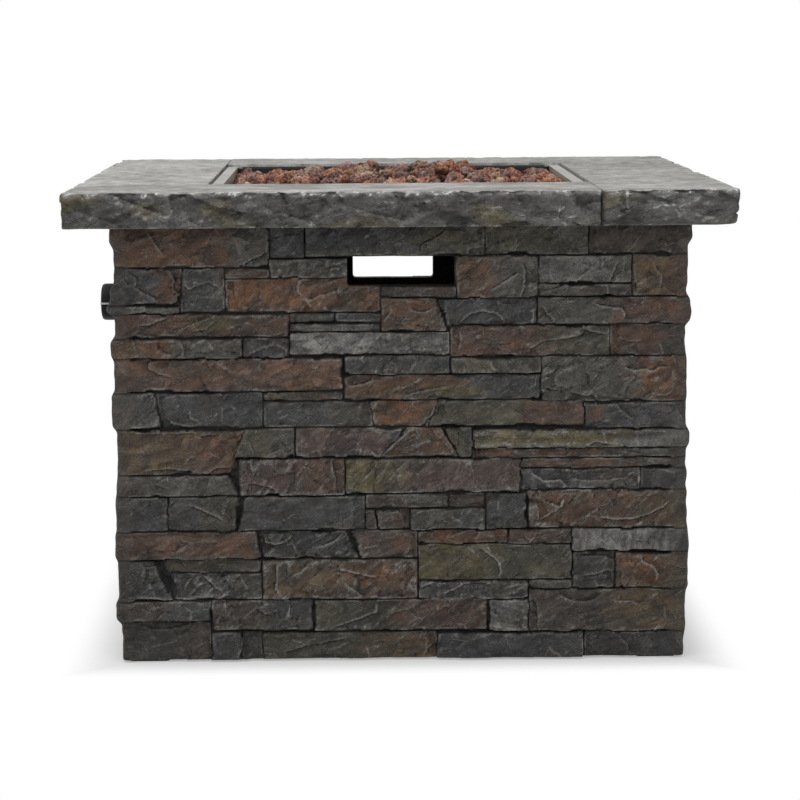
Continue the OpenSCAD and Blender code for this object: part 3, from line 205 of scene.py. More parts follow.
# Broken ledges and light veins on the stones: how far the ground left of the line lies lower (below 0: right
# of it), light on its edge, then points across and up the front wall. All in mm but the light.
CRACKS = (
    (1.2, 0.5, -312, 539, -300, 522, -290, 506), (1.0, 0.1, -270, 539, -267, 526),
    (2.4, 0.4, -165, 537, -164, 514, -174, 507, -190, 500, -204, 494),
    (1.8, 0.2, -342, 491, -326, 482, -327, 470, -317, 462, -304, 457, -302, 449),
    (2.2, 0.3, -284, 490, -279, 478, -281, 468, -275, 460, -277, 452, -287, 447),
    (-1.6, 0.2, -274, 474, -266, 453),
    (-1.3, 0.45, -267, 491, -266, 470, -261, 467, -246, 473, -238, 475, -222, 468),
    (-1.0, 0.7, -126, 480, -128, 463, -119, 453, -110, 440), (-1.2, 0.5, -328, 421, -310, 424, -286, 433),
    (1.0, 0.3, -277, 411, -275, 416, -255, 425, -233, 432), (-1.0, 0.3, -262, 414, -240, 418, -227, 430),
    (1.0, 0.6, -275, 404, -268, 394, -269, 382), (0, 0.8, -239, 404, -231, 390),
    (-0.9, 0.5, -190, 386, -168, 395, -155, 398, -142, 391, -143, 384),
    (1.4, 0.2, 24, 507, 25, 520, 33, 524, 46, 530, 58, 539), (-1.0, 0.4, 82, 506, 83, 515, 104, 518),
    (0.8, 0.4, 104, 540, 104, 518), (0.9, 0.6, -128, 455, -110, 453, -100, 458, -82, 462, -72, 470),
    (0.8, 0.5, -97, 448, -88, 437), (-0.8, 0.6, -14, 448, -13, 438, -23, 424),
    (1.2, 0.5, 8, 444, 18, 438, 30, 437, 41, 443),
    (-1.2, 0.55, 72, 423, 85, 434, 100, 438, 118, 434, 129, 422), (1.0, 0.2, 113, 451, 125, 446, 140, 445),
    (-1.0, 0.4, 72, 417, 73, 400, 70, 386), (0.8, 0.3, 101, 417, 103, 402),
    (1.2, 0.5, 148, 500, 153, 490, 152, 465, 146, 455), (1.2, 0.6, 110, 463, 125, 473, 136, 480, 148, 486),
    (0.9, 0.5, 182, 489, 189, 473), (-0.9, 0.6, 195, 475, 203, 488),
    (0.9, 0.6, 214, 473, 227, 485, 241, 492), (1.4, 0.5, 267, 500, 263, 486, 256, 472),
    (1.0, 0.3, 276, 500, 273, 476), (0.9, 0.4, 218, 497, 236, 491, 246, 499),
    (1.0, 0.3, 168, 459, 188, 463, 199, 468, 214, 470), (-1.2, 0.3, 284, 499, 288, 480, 293, 458),
    (1.0, 0.4, 312, 497, 315, 487, 323, 479, 319, 460), (-1.6, 0.5, 172, 446, 182, 432, 191, 422),
    (1.6, 0.7, 236, 449, 246, 443, 273, 440, 277, 432, 274, 426), (0.9, 0.3, 317, 448, 321, 445, 317, 437),
    (-1.4, 0.2, 158, 382, 160, 390, 176, 400, 205, 403, 225, 408, 225, 415),
    (-0.9, 0.2, 210, 389, 216, 397, 229, 402), (-1.4, 0.4, 224, 417, 233, 411, 256, 408),
    (-1.0, 0.2, 268, 403, 284, 398, 300, 400), (0.9, 0.6, 330, 413, 350, 421),
    (1.3, 0.3, -281, 358, -300, 362, -313, 369, -312, 377, -300, 379),
    (-0.8, 0.4, -231, 379, -222, 370, -207, 362), (0, 0.7, -187, 380, -174, 380, -168, 375),
    (0.9, 0.4, -173, 379, -176, 368, -165, 364), (-0.8, 0.5, -265, 319, -262, 306, -250, 300),
    (0, 0.7, -213, 323, -204, 315), (-1.0, 0.3, -182, 315, -173, 307),
    (-1.8, 0.4, -292, 308, -285, 299, -268, 297, -230, 293), (-0.8, 0.7, -271, 250, -263, 257, -254, 259),
    (-1.0, 0.2, -332, 289, -300, 287, -262, 288, -246, 284, -225, 287),
    (-1.6, 0.3, -322, 241, -290, 243, -262, 240, -241, 237, -231, 244, -212, 245),
    (-0.9, 0.3, -310, 225, -288, 217), (-1.0, 0.4, -222, 207, -212, 215), (0, 0.8, -189, 256, -186, 240),
    (-1.2, 0.3, -192, 226, -180, 223, -166, 220, -153, 214),
    (1.0, 0.3, -165, 261, -151, 268, -143, 262, -136, 264, -134, 272),
    (0.8, 0.8, 107, 378, 113, 369, 119, 362), (0.8, 0.4, 19, 381, 17, 371, 9, 362),
    (-2.2, 0.5, -35, 359, -37, 352, -50, 347, -68, 344), (1.0, 0.4, 0, 332, 22, 337, 62, 345),
    (-1.0, 0.8, -40, 316, -38, 309, -36, 301, -29, 297), (-0.7, 0.8, -33, 326, -33, 315),
    (1.2, 0.5, 44, 325, 44, 313, 31, 303, 25, 296), (-1.8, 0.9, 6, 289, 0, 281, -15, 268, -26, 257),
    (1.4, 0.4, 50, 286, 60, 272, 68, 261), (0, 0.6, 14, 275, 24, 285), (0, 0.5, 12, 268, 35, 277),
    (0.8, 0.8, -42, 266, -30, 257), (1.0, 0.1, 66, 291, 69, 284, 68, 264),
    (1.3, 0.3, -88, 256, -86, 238, -82, 230, -85, 211), (0.8, 0.4, -52, 225, -38, 238, -30, 251),
    (0.7, 0.4, -20, 222, -8, 238, 8, 252), (-0.9, 0.3, 87, 206, 100, 213, 124, 212),
    (-1.8, 0.3, 176, 344, 186, 339, 198, 338, 205, 334),
    (-2.0, 0.2, 206, 337, 224, 332, 238, 331, 246, 323), (1.2, 0.3, 190, 368, 197, 365, 206, 367),
    (1.8, 0.6, 275, 367, 288, 362, 301, 364, 312, 361, 319, 366, 336, 366),
    (1.0, 0.4, 337, 366, 337, 337, 329, 330, 312, 332),
    (1.2, 0.4, 228, 320, 250, 319, 266, 321, 273, 312, 290, 299), (-1.4, 0.5, 228, 268, 240, 273, 262, 271),
    (-1.2, 0.4, 165, 268, 195, 264, 240, 266), (0.8, 0.3, 270, 262, 300, 256),
    (1.4, 0.7, 158, 236, 168, 230, 178, 223, 198, 225, 208, 214),
    (1.0, 0.4, 208, 227, 226, 224, 252, 224, 284, 228), (1.0, 0.2, 276, 225, 275, 218, 284, 214),
    (0.9, 0.1, -345, 178, -330, 185, -321, 190, -318, 196),
    (-1.4, 0.7, -266, 198, -248, 190, -231, 182, -222, 177), (0.8, 0.3, -222, 197, -222, 184),
    (0.9, 0.4, -284, 138, -276, 143, -268, 149, -256, 151),
    (-1.2, 0.7, -173, 160, -171, 148, -160, 146, -146, 149, -135, 157),
    (1.6, 0.7, -322, 119, -308, 120, -300, 113, -297, 104, -291, 92, -289, 81),
    (0.9, 0.6, -320, 101, -312, 90), (-0.9, 0.6, -321, 112, -311, 108),
    (-1.0, 0.7, -336, 80, -320, 80, -296, 77), (1.0, 0.5, -275, 87, -270, 98, -262, 108),
    (-1.4, 0.7, -250, 109, -243, 100, -235, 93, -226, 86), (0.9, 0.6, -247, 82, -240, 90, -230, 95),
    (1.0, 0.6, -232, 108, -228, 102, -214, 108), (1.0, 0.5, -204, 107, -199, 98, -192, 88),
    (-1.4, 0.7, -157, 126, -158, 96, -160, 91, -153, 80), (0, 0.7, -156, 118, -148, 126),
    (0.9, 0.6, -141, 105, -128, 112, -116, 121), (1.0, 0.2, -312, 49, -299, 62, -288, 57),
    (0.9, 0.9, -142, 71, -143, 52), (0.7, 0.4, -200, 53, -180, 70),
    (1.2, 0.1, -336, 46, -318, 40, -300, 38, -275, 43, -252, 49), (1.4, 0.6, -199, 32, -203, 12, -208, 0),
    (-1.2, 0.2, -150, 8, -125, 16, -100, 20, -70, 26), (1.4, 0.7, -110, 142, -95, 145, -84, 150, -74, 161),
    (-0.8, 0.5, -52, 139, -40, 142, -28, 143), (0.9, 0.6, 8, 144, 8, 137, 0, 131),
    (-1.5, 0.7, -86, 115, -72, 113, -55, 109, -30, 104), (1.6, 0.7, -75, 98, -66, 92, -58, 86, -49, 77),
    (-0.9, 0.6, -46, 97, -36, 93), (1.0, 0.6, 5, 98, 12, 92, 15, 84),
    (1.0, 0.4, -19, 185, -5, 187, 1, 179, 3, 167), (0.8, 0.6, 57, 183, 68, 178, 76, 170),
    (0.9, 0.4, 55, 152, 68, 158, 86, 164), (0, 0.8, 80, 144, 92, 131),
    (-1.2, 0.95, 95, 141, 112, 129, 121, 120, 122, 108, 119, 101), (0, 0.7, 103, 144, 112, 133),
    (-1.0, 0.5, 20, 90, 34, 95, 46, 98), (-1.2, 0.6, 50, 81, 66, 88, 76, 95, 100, 97, 113, 94),
    (1.4, 0.5, -33, 74, -32, 59, -50, 53, -66, 47, -88, 40), (-0.9, 0.4, -18, 57, 6, 63, 22, 70),
    (1.0, 0.5, 43, 31, 42, 18, 31, 12, 25, 0), (1.3, 0.4, 176, 204, 177, 199, 197, 191, 201, 204),
    (-1.2, 0.8, 171, 173, 185, 182, 200, 192, 204, 201),
    (-1.6, 0.7, 245, 178, 270, 175, 291, 176, 310, 183, 325, 190, 336, 198),
    (1.0, 0.2, 252, 211, 257, 203, 262, 196, 263, 188), (0.9, 0.6, 165, 200, 170, 188, 171, 173),
    (1.0, 0.2, 270, 147, 274, 139, 273, 134), (-0.9, 0.3, 290, 150, 290, 134),
    (-1.1, 0.5, 226, 104, 241, 105, 257, 110, 263, 107, 263, 88),
    (1.2, 0.3, 220, 128, 254, 128, 266, 120, 268, 108),
    (1.1, 0.8, 299, 131, 300, 122, 314, 115, 320, 105, 318, 94), (0, 0.8, 321, 131, 313, 121),
    (-1.4, 0.2, 276, 112, 273, 96, 281, 86), (2.0, 0.2, 193, 81, 208, 73, 225, 69, 240, 71, 251, 81),
    (-1.3, 0.2, 164, 77, 168, 66, 170, 50, 168, 34), (1.0, 0.4, 262, 70, 284, 71, 302, 64),
    (1.2, 0.2, 269, 30, 276, 22, 283, 13, 284, 2),
)

# Joints that gape on the front: half of the added width, then both ends across and up. All in mm.
GAPES = (
    (1.4, -333, 445, -270, 446), (2.2, -232, 437, -138, 433), (1.2, -343, 406, -200, 408),
    (1.2, -136, 388, -136, 434), (1.6, -120, 423, -25, 423), (1.3, -20, 411, 20, 412),
    (1.8, -83, 426, -83, 437), (1.6, 52, 446, 64, 421), (1.3, -120, 384, -25, 384),
    (2.2, -72, 328, -72, 380), (1.2, -118, 326, -45, 326), (1.8, 155, 328, 222, 327),
    (1.3, 130, 287, 200, 287), (1.3, 215, 283, 270, 283), (2.0, 298, 240, 350, 240),
    (2.2, 153, 168, 153, 208), (1.6, -335, 293, -196, 293), (1.4, -300, 337, -205, 338),
    (2.2, -213, 237, -211, 248), (1.6, -204, 199, -203, 168), (1.8, -181, 162, -174, 136),
    (2.6, -308, 124, -288, 86), (1.2, -225, 113, -180, 113), (1.0, -177, 130, -177, 76),
    (1.2, -240, 72, -240, 30), (1.2, -237, 36, -195, 36), (1.8, -113, 74, -113, 36),
    (1.0, -120, 33, 115, 33), (1.8, -64, 158, -54, 134), (1.6, 61, 205, 61, 193), (2.0, 112, 72, 112, 36),
    (1.0, -30, 190, -28, 166),
)

# Working values of the meshes, in mm: distance at which points merge, ground past the core that a wall's grid
# covers, reach of the zone that is drawn out to its corners.
MERGE = 0.03
FACE_MARGIN = 9
END_ZONE = 40.0
# Height over the core of the flat ground round the control panel, in mm.
PAD_HEIGHT = 9.0
# Share of its radius by which the middle of a rounded corner stays back from the sharp one, along each side.
ROUND_CUT = 0.293
# Slant of a wall's back while it is filled, so that the fill doesn't skip points of the level top row.
FILL_SLANT = 0.01
# Full turn, as the random shapes reckon with it.
TURN = 6.28
# Stones nearer to the middle of the front than this change places on the other walls, in mm.
INNER_STONES = 240

# Slant of the grain on the top's split sides.
SLAB_GRAIN = math.radians(13)
# Split rock: number of flakes and of their steps to a metre. Gloss of stone and concrete.
FLAKE_SCALE, FLAKE_STEPS = 24.0, 70.0
STONE_SHINE = 0.35
# Painted shade on the pan's back wall, in metres: where it starts and is full toward the back, and the heights
# where it fades.
PAN_SHADE_BACK, PAN_SHADE_FADE = (0.205, 0.222), (0.5865, 0.5885)
# Painted shade on the back flange, in metres: half widths between which it fades, where it starts and is full.
PAN_SHADE_WIDTH, PAN_SHADE_FLANGE = (0.224, 0.229), (0.220, 0.226)
SOCKETS = {"RGBA": "NodeSocketColor", "VALUE": "NodeSocketFloat", "VECTOR": "NodeSocketVector"}

# Shares of red, orange, purple and brown rocks.
ROCK_SHARES = (0.44, 0.16, 0.28, 0.12)

# Softboxes: place, aim, width and height, in metres.
SOFTBOX_ABOVE = ((-0.7, -0.7, 2.9), (0, 0, 0.5), 2.6, 2.0)
SOFTBOX_FRONT = ((0.5, -3.8, 1.9), (0, 0, 0.3), 2.8, 1.8)
WHITE = (1, 1, 1)


def srgb(*levels):
    """Linear colour from 0 to 255 display levels."""
    parts = [level / 255 for level in levels]
    return tuple(p / 12.92 if p <= 0.04045 else ((p + 0.055) / 1.055) ** 2.4 for p in parts)


def tint(name, description, *levels):
    """A colour that the user can change."""
    return bpy.props.FloatVectorProperty(name=name, description=description, subtype="COLOR", size=3,
                                         min=0, max=1, default=srgb(*levels))


def length(name, description, value):
    """A length in mm that the user can change."""
    return bpy.props.FloatProperty(name=name, description=description, default=value * MM, min=0,
                                   unit="LENGTH")


def angle(name, description, value):
    """An angle in radians that the user can change."""
    return bpy.props.FloatProperty(name=name, description=description, default=value, subtype="ANGLE")


def factor(name, description, value, top=1.0):
    """A plain number that the user can change."""
    return bpy.props.FloatProperty(name=name, description=description, default=value, min=0, max=top,
                                   subtype="FACTOR" if top == 1.0 else "NONE")


class FirePitTints(bpy.types.PropertyGroup):
    """Colours of the wall stones"""
    slate: tint("Slate", "Blue-grey stones", 61, 62, 64)
    coal: tint("Coal", "Darkest stones", 52, 51, 49)
    grey: tint("Grey", "Plain grey stones", 75, 72, 67)
    ash: tint("Ash", "Light grey stones", 102, 100, 97)
    chalk: tint("Chalk", "Lightest stones", 130, 128, 125)
    rust: tint("Rust", "Rust-brown stones", 91, 67, 51)
    ochre: tint("Ochre", "Orange-brown stones", 103, 72, 49)
    clay: tint("Clay", "Red-brown stones", 85, 63, 52)
    mauve: tint("Mauve", "Purple-brown stones", 88, 72, 67)
    tan: tint("Tan", "Tan stones", 91, 75, 56)
    straw: tint("Straw", "Olive-yellow stones", 94, 85, 58)
    moss: tint("Moss", "Olive-grey stones", 75, 72, 58)
    umber: tint("Umber", "Dark brown stones", 66, 58, 52)
    # Also the colour of the painted highlights on ledge and flake edges.
    worn: tint("Worn ridges", "Light paint brushed over ridges and edges", 152, 150, 144)
    # Also the colour of the painted shadow in lying and gaping joints and at the foot of ledges.
    joint: tint("Joints", "Dark wash in the joints", 16, 15, 14)
    wash: tint("Wash", "Thin dark coat over all stones", 62, 58, 54)


class FirePitWalls(bpy.types.PropertyGroup):
    """Sizes of the stone walls"""
    core_half: length("Core half width", "From the middle to the face behind the stones", 344)
    inner_half: length("Inner half width", "From the middle to the walls' inner faces", 326)
    low: length("Lower edge", "Height of the walls' lower edge", 3)
    high: length("Upper edge", "Height of the walls' upper edge", 549)
    front_step: length("Front mesh step", "Distance of mesh lines on the front wall", 2.06)
    side_step: length("Side mesh step", "Distance of mesh lines on the other walls", 2.6)
    corner_radius: length("Corner radius", "Rounding of the upright corners", 9)
    joint: length("Joint width", "Distance between the outlines of neighbouring stones", 3.4)
    corner_cut: length("Corner cut", "Longest corner side of a stone that is drawn out to a sharp corner", 12)
    joint_depth: length("Joint floor", "Height of the joints' floor above the core", 1.2)
    end_out: length("Corner bulge", "How far the upright corners stand out of the stones", 2.5)
    cap_out: length("Upper course bulge", "How far the upper course stands out at the corners", 5)
    lump_out: length("Corner lump", "How far the lump on the front left corner stands out", 5)
    lump_height: length("Corner lump height", "Height of the lump on the front left corner", 458)
    slot_width: length("Slot width", "Width of the hand slot", 133)
    slot_height: length("Slot height", "Height of the hand slot", 37)
    hose_width: length("Hose opening width", "Width of the opening in the back wall", 120)
    hose_height: length("Hose opening height", "Height of the opening in the back wall", 91)
    window_top: length("Window top", "Upper edge of both openings", 509)
    window_radius: length("Window radius", "Corner radius of the openings", 4)
    hatch_width: length("Hatch width", "Width of the hatch behind the control panel", 60)
    hatch_low: length("Hatch lower edge", "Lower edge of the hatch", 326)
    hatch_high: length("Hatch upper edge", "Upper edge of the hatch", 450)
    pad_margin: length("Pad margin", "Flat ground left round the control panel", 6)
    ledge_reach: length("Ledge reach", "How far the ground beside a broken ledge takes to rise again", 16)


class FirePitTop(bpy.types.PropertyGroup):
    """Sizes and colours of the cast table top"""
    half: length("Half width", "From the middle to the top face's edge", 406)
    well_half: length("Well half width", "From the middle to the edge of the burner well", 242.5)
    shaft_half: length("Shaft half width", "From the middle to the side of the shaft", 226.8)
    low: length("Underside", "Height of the underside", 549)
    ledge: length("Ledge", "Height of the ledge under the pan's flange", 588)
    high: length("Top face", "Height of the top face", 593)
    seam: length("Seam", "Width of the joints between planks", 1.6)
    step: length("Mesh step", "Distance of mesh lines", 2.7)
    face_light: tint("Top face", "Top face of the planks", 207, 206, 202)
    face_dark: tint("Top streaks", "Streaks along the planks", 128, 127, 123)
    line: tint("Top lines", "Fine lines along the planks", 96, 95, 91)
    edge: tint("Split edge", "Rock-faced edge", 80, 80, 80)
    stain: tint("Stain", "Brown stains on the edge", 88, 82, 66)
    chip: tint("Chips", "Fresh chips along the upper edge", 226, 226, 224)
    # Painted shade in cracks and recesses of the split edge, on the well's inner faces, the ledge and the bed.
    hollow: tint("Hollows", "Cracks and seams", 28.6, 28.6, 28.6)


class FirePitRock(bpy.types.PropertyGroup):
    """Sizes and colours of the lava rock"""
    red: tint("Red", "Red-brown rocks", 172, 122, 106)
    orange: tint("Orange", "Orange-brown rocks", 184, 131, 104)
    purple: tint("Purple", "Purple-grey rocks", 156, 125, 118)
    brown: tint("Brown", "Tan rocks", 186, 154, 133)
    # Painted shade in the pores and on the rocks' undersides.
    pore: tint("Pores", "Inside of the pores", 44, 26, 21)
    pan_half: length("Pan half width", "From the middle to the pan's wall", 224)
    fill_step: length("Fill step", "Distance of the rocks that fill gaps below the upper ones", 20)
    pebbles: bpy.props.IntProperty(name="Pebbles", description="Small rocks between the larger ones",
                                   default=150, min=0, max=400)


class FirePitMetal(bpy.types.PropertyGroup):
    """Colours of metal, plastic and rubber"""
    stainless: tint("Stainless", "Pan, burner and mixer", 150, 148, 143)
    # Painted shade on the pan's back wall and the middle of its back flange.
    back_shade: tint("Pan_shade", "Smoked back of the pan", 40, 40, 40)
    zinc: tint("Zinc", "Angles, cleats and screws", 172, 174, 176)
    cast: tint("Cast metal", "Valve and elbow", 146, 147, 149)
    pipe: tint("Pipe", "Feed pipe", 184, 184, 186)
    brass: tint("Brass", "Nuts, jet and inlet", 190, 158, 92)
    copper: tint("Copper", "Flame sensor", 186, 128, 98)
    coat: tint("Panel coat", "Powder coat of the control panel", 40, 40, 40)
    black: tint("Black plastic", "Knob and igniter", 12, 12, 12)
    mark: tint("Knob mark", "Line on the knob", 226, 226, 222)
    red: tint("Button", "Igniter button", 118, 26, 20)
    cell: tint("Cell", "Igniter cell", 184, 144, 66)
    ceramic: tint("Ceramic", "Electrode's insulator", 232, 230, 222)
    fibre: tint("Fibre", "Burner gasket", 86, 80, 72)
    rubber: tint("Rubber", "Foot pads", 34, 34, 34)


class FirePitStage(bpy.types.PropertyGroup):
    """Camera, light and floor"""
    lens: bpy.props.FloatProperty(name="Lens", description="Focal length on a 36 mm sensor", default=114.88,
                                  min=1, unit="CAMERA")
    place: bpy.props.FloatVectorProperty(name="Camera", description="Place of the camera", size=3,
                                         default=(-0.05504, -3.48335, 0.78313), subtype="TRANSLATION")
    pitch: angle("Pitch", "Camera's tilt", -0.1435)
    yaw: angle("Yaw", "Camera's turn", -0.0169)
    roll: angle("Roll", "Camera's roll", -0.0058)
    sky: factor("Sky", "Light from all round", 0.30, 4.0)
    key: factor("Key", "Power of the softbox above, in watts", 43.0, 1000.0)
    fill: factor("Fill", "Power of the softbox in front, in watts", 37.0, 1000.0)
    floor: tint("Floor", "Floor", 240, 240, 240)
    shadow_from: length("Shadow start", "From the middle to where the shadow starts to fade", 350)
    shadow_to: length("Shadow end", "From the middle to where the floor is white", 430)


class FirePitSettings(bpy.types.PropertyGroup):
    """All settings of the fire pit"""
    tints: bpy.props.PointerProperty(type=FirePitTints)
    walls: bpy.props.PointerProperty(type=FirePitWalls)
    top: bpy.props.PointerProperty(type=FirePitTop)
    rock: bpy.props.PointerProperty(type=FirePitRock)
    metal: bpy.props.PointerProperty(type=FirePitMetal)
    stage: bpy.props.PointerProperty(type=FirePitStage)


# Noise


def lattice(places, seed):
    """Random numbers from 0 to 1 at whole-number places."""
    mixed = np.full(np.shape(places[0]), seed * 7919 + 17, np.uint64)
    for part in places:
        mixed = (mixed ^ np.asarray(part).astype(np.int64).astype(np.uint64)) * np.uint64(0x9E3779B97F4A7C15)
        mixed ^= mixed >> np.uint64(29)
    mixed = mixed * np.uint64(0xBF58476D1CE4E5B9)
    mixed ^= mixed >> np.uint64(32)
    return (mixed >> np.uint64(11)).astype(float) / 2 ** 53


def noise(*axes, seed=0):
    """Smooth noise of about -1 to 1 over two or three coordinates."""
    axes = np.broadcast_arrays(*[np.asarray(a, float) for a in axes])
    floors = [np.floor(a) for a in axes]
    parts = [a - f for a, f in zip(axes, floors)]
    fades = [p * p * p * (p * (6 * p - 15) + 10) for p in parts]
    total = np.zeros(axes[0].shape)
    for corner in np.ndindex(*(2,) * len(axes)):
        places = [f + c for f, c in zip(floors, corner)]
        weight = np.ones(axes[0].shape)
        slope = np.zeros(axes[0].shape)
        for k, c in enumerate(corner):
            weight = weight * (fades[k] if c else 1 - fades[k])
            slope = slope + (2 * lattice(places, seed + 101 * k) - 1) * (parts[k] - c)
        total += weight * slope
    return 1.9 * total


def fractal(*axes, seed=0, octaves=3):
    """Sum of noise at rising frequency."""
    total, share = 0.0, 1.0
    for k in range(octaves):
        total = total + share * noise(*[a * 2 ** k for a in axes], seed=seed + 31 * k)
        share *= 0.5
    return total


def cells(x, y, seed=0):
    """Random cells: number of the nearest, way to its middle, distance from its border."""
    near = np.full(x.shape, 9.0)
    second = near.copy()
    number, to_x, to_y = np.zeros(x.shape), np.zeros(x.shape), np.zeros(x.shape)
    for i in (-1, 0, 1):
        for j in (-1, 0, 1):
            place = (np.floor(x) + i, np.floor(y) + j)
            dx = place[0] + lattice(place, seed) - x
            dy = place[1] + lattice(place, seed + 1) - y
            away = np.hypot(dx, dy)
            closer = away < near
            second = np.where(closer, near, np.minimum(second, away))
            number = np.where(closer, lattice(place, seed + 2), number)
            to_x = np.where(closer, dx, to_x)
            to_y = np.where(closer, dy, to_y)
            near = np.where(closer, away, near)
    return number, to_x, to_y, second - near


def leaning(number, to_x, to_y):
    """Height of a cell's leaning face, from its number and the way to its middle."""
    return to_x * np.cos(TURN * number) + to_y * np.sin(TURN * number)


def ramp(low, high, value):
    """Smooth step from 0 at low to 1 at high."""
    t = np.clip((value - low) / (high - low), 0, 1)
    return t * t * (3 - 2 * t)


def steps(value, sharp=0.25):
    """Terraces with steep risers."""
    base = np.floor(value)
    return base + ramp(1 - sharp, 1, value - base)


def soften(field, times):
    """Field averaged with its neighbours this many times."""
    for _ in range(times):
        for axis in (0, 1):
            wide = np.pad(field, [(1, 1) if k == axis else (0, 0) for k in (0, 1)], mode="edge")
            low = np.take(wide, range(0, field.shape[axis]), axis)
            high = np.take(wide, range(2, field.shape[axis] + 2), axis)
            field = (low + 2 * field + high) / 4
    return field


# Meshes


def cad_triangles(node):
    """Corners of a CAD node's triangles, in mm."""
    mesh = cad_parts[node].data
    mesh.calc_loop_triangles()
    places = np.empty(len(mesh.vertices) * 3, np.float32)
    mesh.vertices.foreach_get("co", places)
    corners = np.empty(len(mesh.loop_triangles) * 3, np.int32)
    mesh.loop_triangles.foreach_get("vertices", corners)
    return places.reshape(-1, 3)[corners].reshape(-1, 3, 3).astype(float) / MM


def islands(triangles):
    """Number of the connected patch that each triangle belongs to."""
    _, ids = np.unique(np.round(triangles.reshape(-1, 3), 2), axis=0, return_inverse=True)
    ids = ids.reshape(-1, 3)
    label = np.arange(ids.max() + 1)
    while True:
        lowest = label[ids].min(axis=1)
        joined = label.copy()
        np.minimum.at(joined, ids.ravel(), np.repeat(lowest, 3))
        if (joined == label).all():
            return label[ids[:, 0]]
        label = joined


def turned(points, degrees):
    """Points turned about Z."""
    a = math.radians(degrees)
    out = points.copy()
    out[..., 0] = points[..., 0] * math.cos(a) - points[..., 1] * math.sin(a)
    out[..., 1] = points[..., 0] * math.sin(a) + points[..., 1] * math.cos(a)
    return out


def piece(bm, name, material, nodes=(), body=BODY):
    """Finished object from a bmesh, riding on its body."""
    mesh = bpy.data.meshes.new(name)
    bm.to_mesh(mesh)
    bm.free()
    obj = bpy.data.objects.new(name, mesh)
    bpy.context.scene.collection.objects.link(obj)
    mesh.materials.append(material)
    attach(obj, body)
    if nodes:
        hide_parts(*nodes)
    return obj


def sharpen(bm, angle):
    """Marks the edges sharp that bend by more than this."""
    for e in bm.edges:
        if len(e.link_faces) == 2 and e.calc_face_angle() > angle:
            e.smooth = False


def grid_lines(breaks, step):
    """Mesh lines through all the breaks, about one step apart."""
    lines = [breaks[0]]
    for low, high in zip(breaks, breaks[1:]):
        count = max(1, round((high - low) / step))
        lines.extend(low + (high - low) * k / count for k in range(1, count + 1))
    return np.array(lines)


# Node trees


class Wire:
    """Output of a node that is reckoned with like a number: each sign adds a math node."""

    def __init__(self, tree, socket):
        self.tree, self.socket = tree, socket

    def __add__(self, other):
        return self.tree.math("ADD", self, other)

    def __sub__(self, other):
        return self.tree.math("SUBTRACT", self, other)

    def __rsub__(self, other):
        return self.tree.math("SUBTRACT", other, self)

    def __mul__(self, other):
        return self.tree.math("MULTIPLY", self, other)

    def __truediv__(self, other):
        return self.tree.math("DIVIDE", self, other)

    def __rtruediv__(self, other):
        return self.tree.math("DIVIDE", other, self)

    __radd__, __rmul__ = __add__, __mul__


class Tree:
    """Short way to write a node tree."""

    def __init__(self, tree):
        self.tree = tree

    def feed(self, node, inputs):
        """Links wires into a node's sockets, and sets its other sockets to numbers, vectors or colours."""
        for name, value in inputs.items():
            socket = node.inputs[name]
            if isinstance(value, Wire):
                self.tree.links.new(value.socket, socket)
            elif socket.type == "RGBA":
                socket.default_value = (*value[:3], 1)
            else:
                socket.default_value = value

    def add(self, kind, inputs=None, **options):
        """New node with these options and inputs."""
        made = self.tree.nodes.new(kind)
        for name, value in options.items():
            setattr(made, name, value)
        self.feed(made, inputs or {})
        return made

    def wire(self, kind, output, inputs=None, **options):
        """One output of a new node."""
        return Wire(self, self.add(kind, inputs, **options).outputs[output])

    def wires(self, kind, inputs=None, **options):
        """All outputs of a new node by name."""
        return {socket.name: Wire(self, socket) for socket in self.add(kind, inputs, **options).outputs}

    def math(self, how, first, second=0.0):
        return self.wire("ShaderNodeMath", 0, {0: first, 1: second}, operation=how)

    def most(self, first, second):
        return self.math("MAXIMUM", first, second)

    def least(self, first, second):
        return self.math("MINIMUM", first, second)

    def vector(self, how, *parts, output="Vector"):
        return self.wire("ShaderNodeVectorMath", output, dict(enumerate(parts)), operation=how)

    def noise(self, where, scale, detail=4.0, rough=0.55, output="Fac"):
        return self.wire("ShaderNodeTexNoise", output,
                         {"Vector": where, "Scale": scale, "Detail": detail, "Roughness": rough})

    def ramp(self, value, low, high, to_low=0.0, to_high=1.0):
        """Smooth step from one value at low to another at high."""
        return self.wire("ShaderNodeMapRange", "Result", {
            "Value": value, "From Min": low, "From Max": high, "To Min": to_low, "To Max": to_high},
            interpolation_type="SMOOTHSTEP")

    def fall(self, value, low, high):
        """Smooth step from 1 at low to 0 at high."""
        return self.ramp(value, low, high, 1.0, 0.0)

    def mix(self, share, first, second, how="MIX"):
        """Blend of two colours."""
        return self.wire("ShaderNodeMix", 2, {0: share, 6: first, 7: second}, data_type="RGBA",
                         blend_type=how)

    def shaded(self, colour, value):
        """Colour times a brightness."""
        grey = self.wire("ShaderNodeCombineColor", "Color", {"Red": value, "Green": value, "Blue": value})
        return self.mix(1.0, colour, grey, "MULTIPLY")

    def spot(self):
        """Place on the object."""
        return self.wire("ShaderNodeTexCoord", "Object")

    def stretched(self, where, times, wide=1.0):
        """Coordinates in which a pattern comes out this many times longer than high."""
        return self.wire("ShaderNodeMapping", "Vector", {"Vector": where, "Scale": (wide, times, 1.0)})

    def attribute(self, name, output="Fac"):
        return self.wire("ShaderNodeAttribute", output, attribute_name=name)

    def bump(self, height, distance, strength=1.0):
        """Normal from a height in 0 to 1 over this distance in metres."""
        return self.wire("ShaderNodeBump", "Normal",
                         {"Height": height, "Strength": strength, "Distance": distance})


